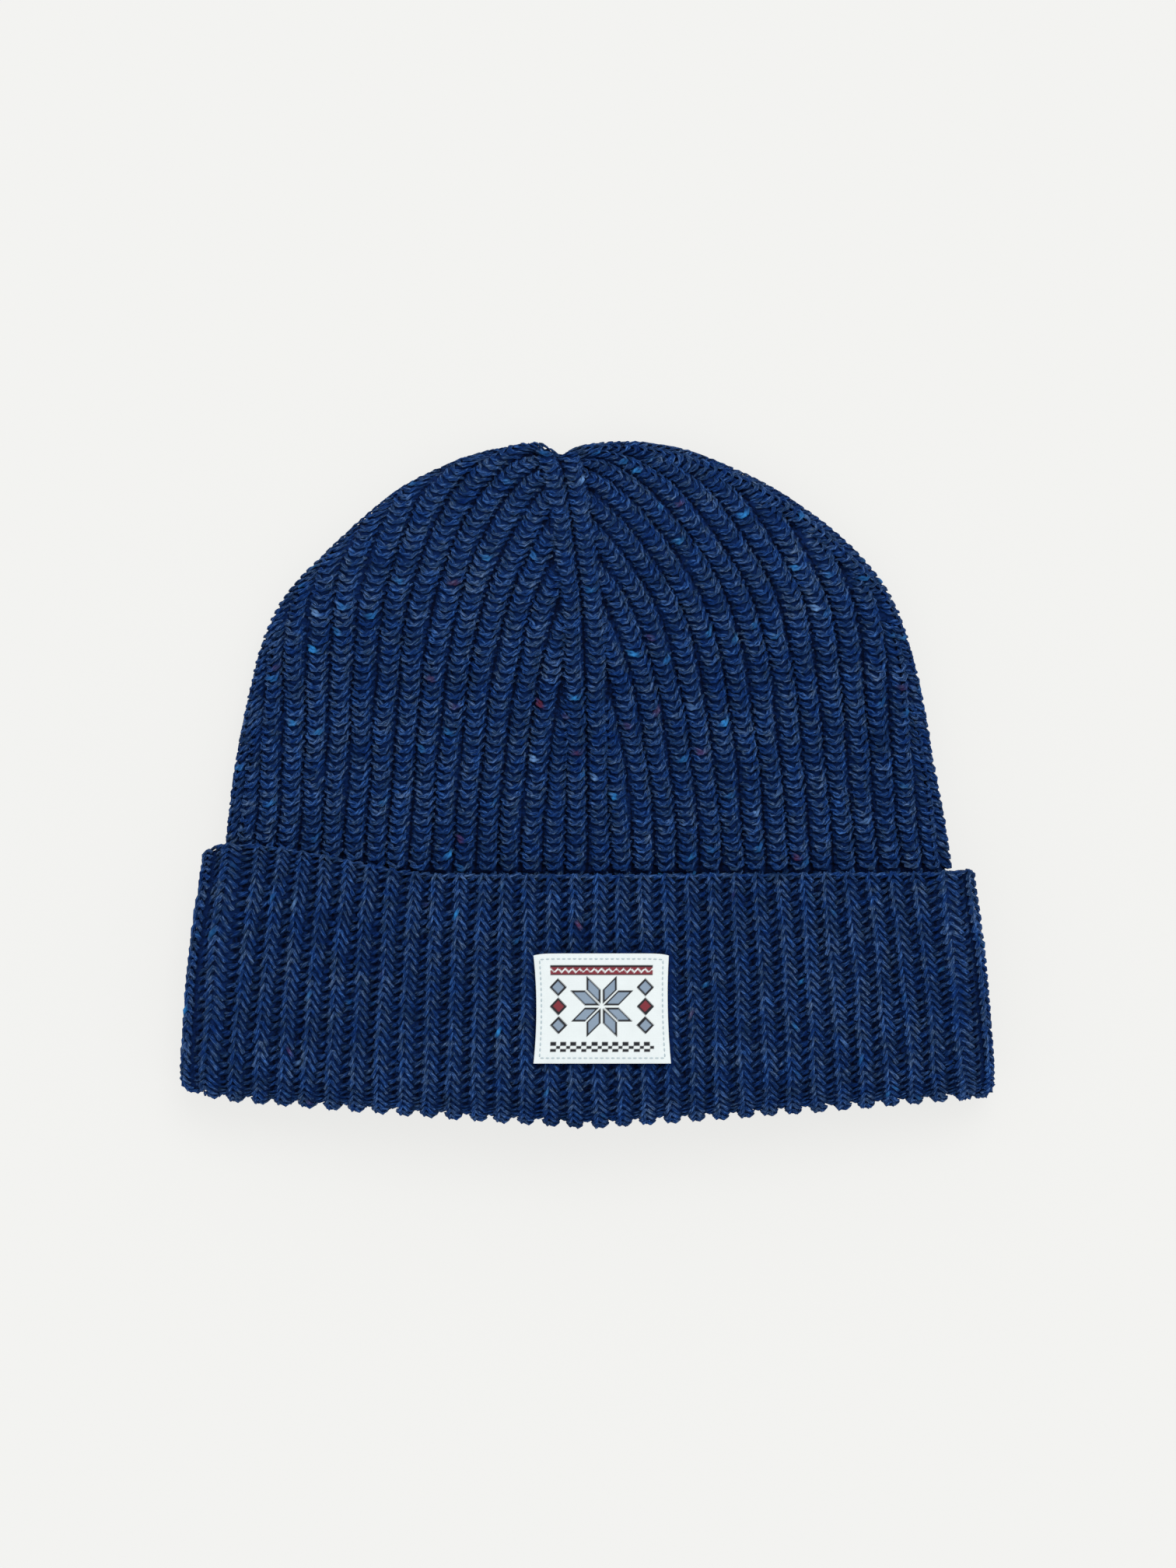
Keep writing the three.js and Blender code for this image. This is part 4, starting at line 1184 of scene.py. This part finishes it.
class CAP_OT_crown(bpy.types.Operator):
    """Knit the crown: its ribs, gore by gore, and the inner strands behind them"""
    bl_idname = "cap.crown"
    bl_label = "Crown"

    def execute(self, context):
        shape, yarn, _, _ = settings()
        tube = Tube(shape)
        build_crown_backing(tube, yarn, backing_material(yarn))
        build_crown_knit(tube, yarn, yarn_material("navy_wool_crown", yarn, 0.75))
        return {"FINISHED"}


class CAP_OT_cuff(bpy.types.Operator):
    """Knit the cuff: its ribs round the fold and into the mouth, its edge, and its inner strands"""
    bl_idname = "cap.cuff"
    bl_label = "Cuff"

    def execute(self, context):
        shape, yarn, label, _ = settings()
        tube = Tube(shape)
        build_cuff_backing(tube, yarn, backing_material(yarn))
        material = yarn_material("navy_wool_cuff", yarn, 0.7)
        build_cuff_knit(tube, yarn, label, material)
        build_cuff_edge(tube, yarn, label, material)
        return {"FINISHED"}


class CAP_OT_label(bpy.types.Operator):
    """Sew on the woven label"""
    bl_idname = "cap.label"
    bl_label = "Label"

    def execute(self, context):
        shape, _, label, _ = settings()
        tube = Tube(shape)
        build_label(tube, label, label_material(label))
        build_label_stitches(tube, label, thread_material(label))
        return {"FINISHED"}


class CAP_OT_stage(bpy.types.Operator):
    """Set up the pale floor, the soft light and the camera above the cap"""
    bl_idname = "cap.stage"
    bl_label = "Stage"

    def execute(self, context):
        _, _, _, stage = settings()
        half, below = 4.0, 0.00005  # half the sheet's width, and how far it lies under the cap
        points = [(x * half, y * half, -below) for x, y in ((-1, -1), (1, -1), (1, 1), (-1, 1))]
        floor = make_piece("floor", points, make_faces(np.arange(4)[None]), floor_material(stage))

        scene = context.scene
        world = bpy.data.worlds.new("soft_room")
        world.use_nodes = True
        sky = next(n for n in world.node_tree.nodes if n.type == "BACKGROUND")
        sky.inputs["Color"].default_value = (1.0, 1.0, 0.992, 1.0)
        sky.inputs["Strength"].default_value = stage.sky_strength
        scene.world = world

        key = bpy.data.lights.new("key_light", "SUN")
        key.energy, key.angle = stage.key_strength, math.radians(34)
        key.color = (1.0, 0.995, 0.98)
        key_object = bpy.data.objects.new("key_light", key)
        key_object.rotation_euler = (math.radians(-26), math.radians(10), 0)
        scene.collection.objects.link(key_object)

        camera = bpy.data.cameras.new("camera")
        camera.lens = camera.sensor_width * stage.camera_height / stage.frame_height
        camera_object = bpy.data.objects.new("camera", camera)
        middle = (0.0001, 0.0003, 0.015)  # what the camera looks down on
        camera_object.location = (*middle[:2], stage.camera_height + middle[2])
        scene.collection.objects.link(camera_object)
        scene.camera = camera_object
        scene.view_settings.view_transform = "Standard"
        scene.view_settings.look = "None"
        return {"FINISHED"}


class CAP_PT_panel(bpy.types.Panel):
    """The watch cap's steps and settings"""
    bl_idname = "CAP_PT_panel"
    bl_label = "Watch Cap"
    bl_space_type = "VIEW_3D"
    bl_region_type = "UI"
    bl_category = "Watch Cap"

    def draw(self, context):
        for step in STEPS:
            self.layout.operator(step.bl_idname)
        for group in settings():
            box = self.layout.box()
            for name in group.__annotations__:
                box.prop(group, name)


STEPS = (CAP_OT_crown, CAP_OT_cuff, CAP_OT_label, CAP_OT_stage)
GROUPS = {"cap_shape": CapShape, "cap_yarn": CapYarn, "cap_label": CapLabel, "cap_stage": CapStage}


def register():
    for group in GROUPS.values():
        bpy.utils.register_class(group)
    for name, group in GROUPS.items():
        setattr(bpy.types.Scene, name, bpy.props.PointerProperty(type=group))
    for step in STEPS:
        bpy.utils.register_class(step)
    bpy.utils.register_class(CAP_PT_panel)


def unregister():
    bpy.utils.unregister_class(CAP_PT_panel)
    for step in reversed(STEPS):
        bpy.utils.unregister_class(step)
    for name in GROUPS:
        delattr(bpy.types.Scene, name)
    for group in reversed(GROUPS.values()):
        bpy.utils.unregister_class(group)


def main():
    register()
    bpy.ops.cap.crown()
    bpy.ops.cap.cuff()
    bpy.ops.cap.label()
    bpy.ops.cap.stage()
    bpy.context.view_layer.update()


if __name__ == "__main__":
    main()
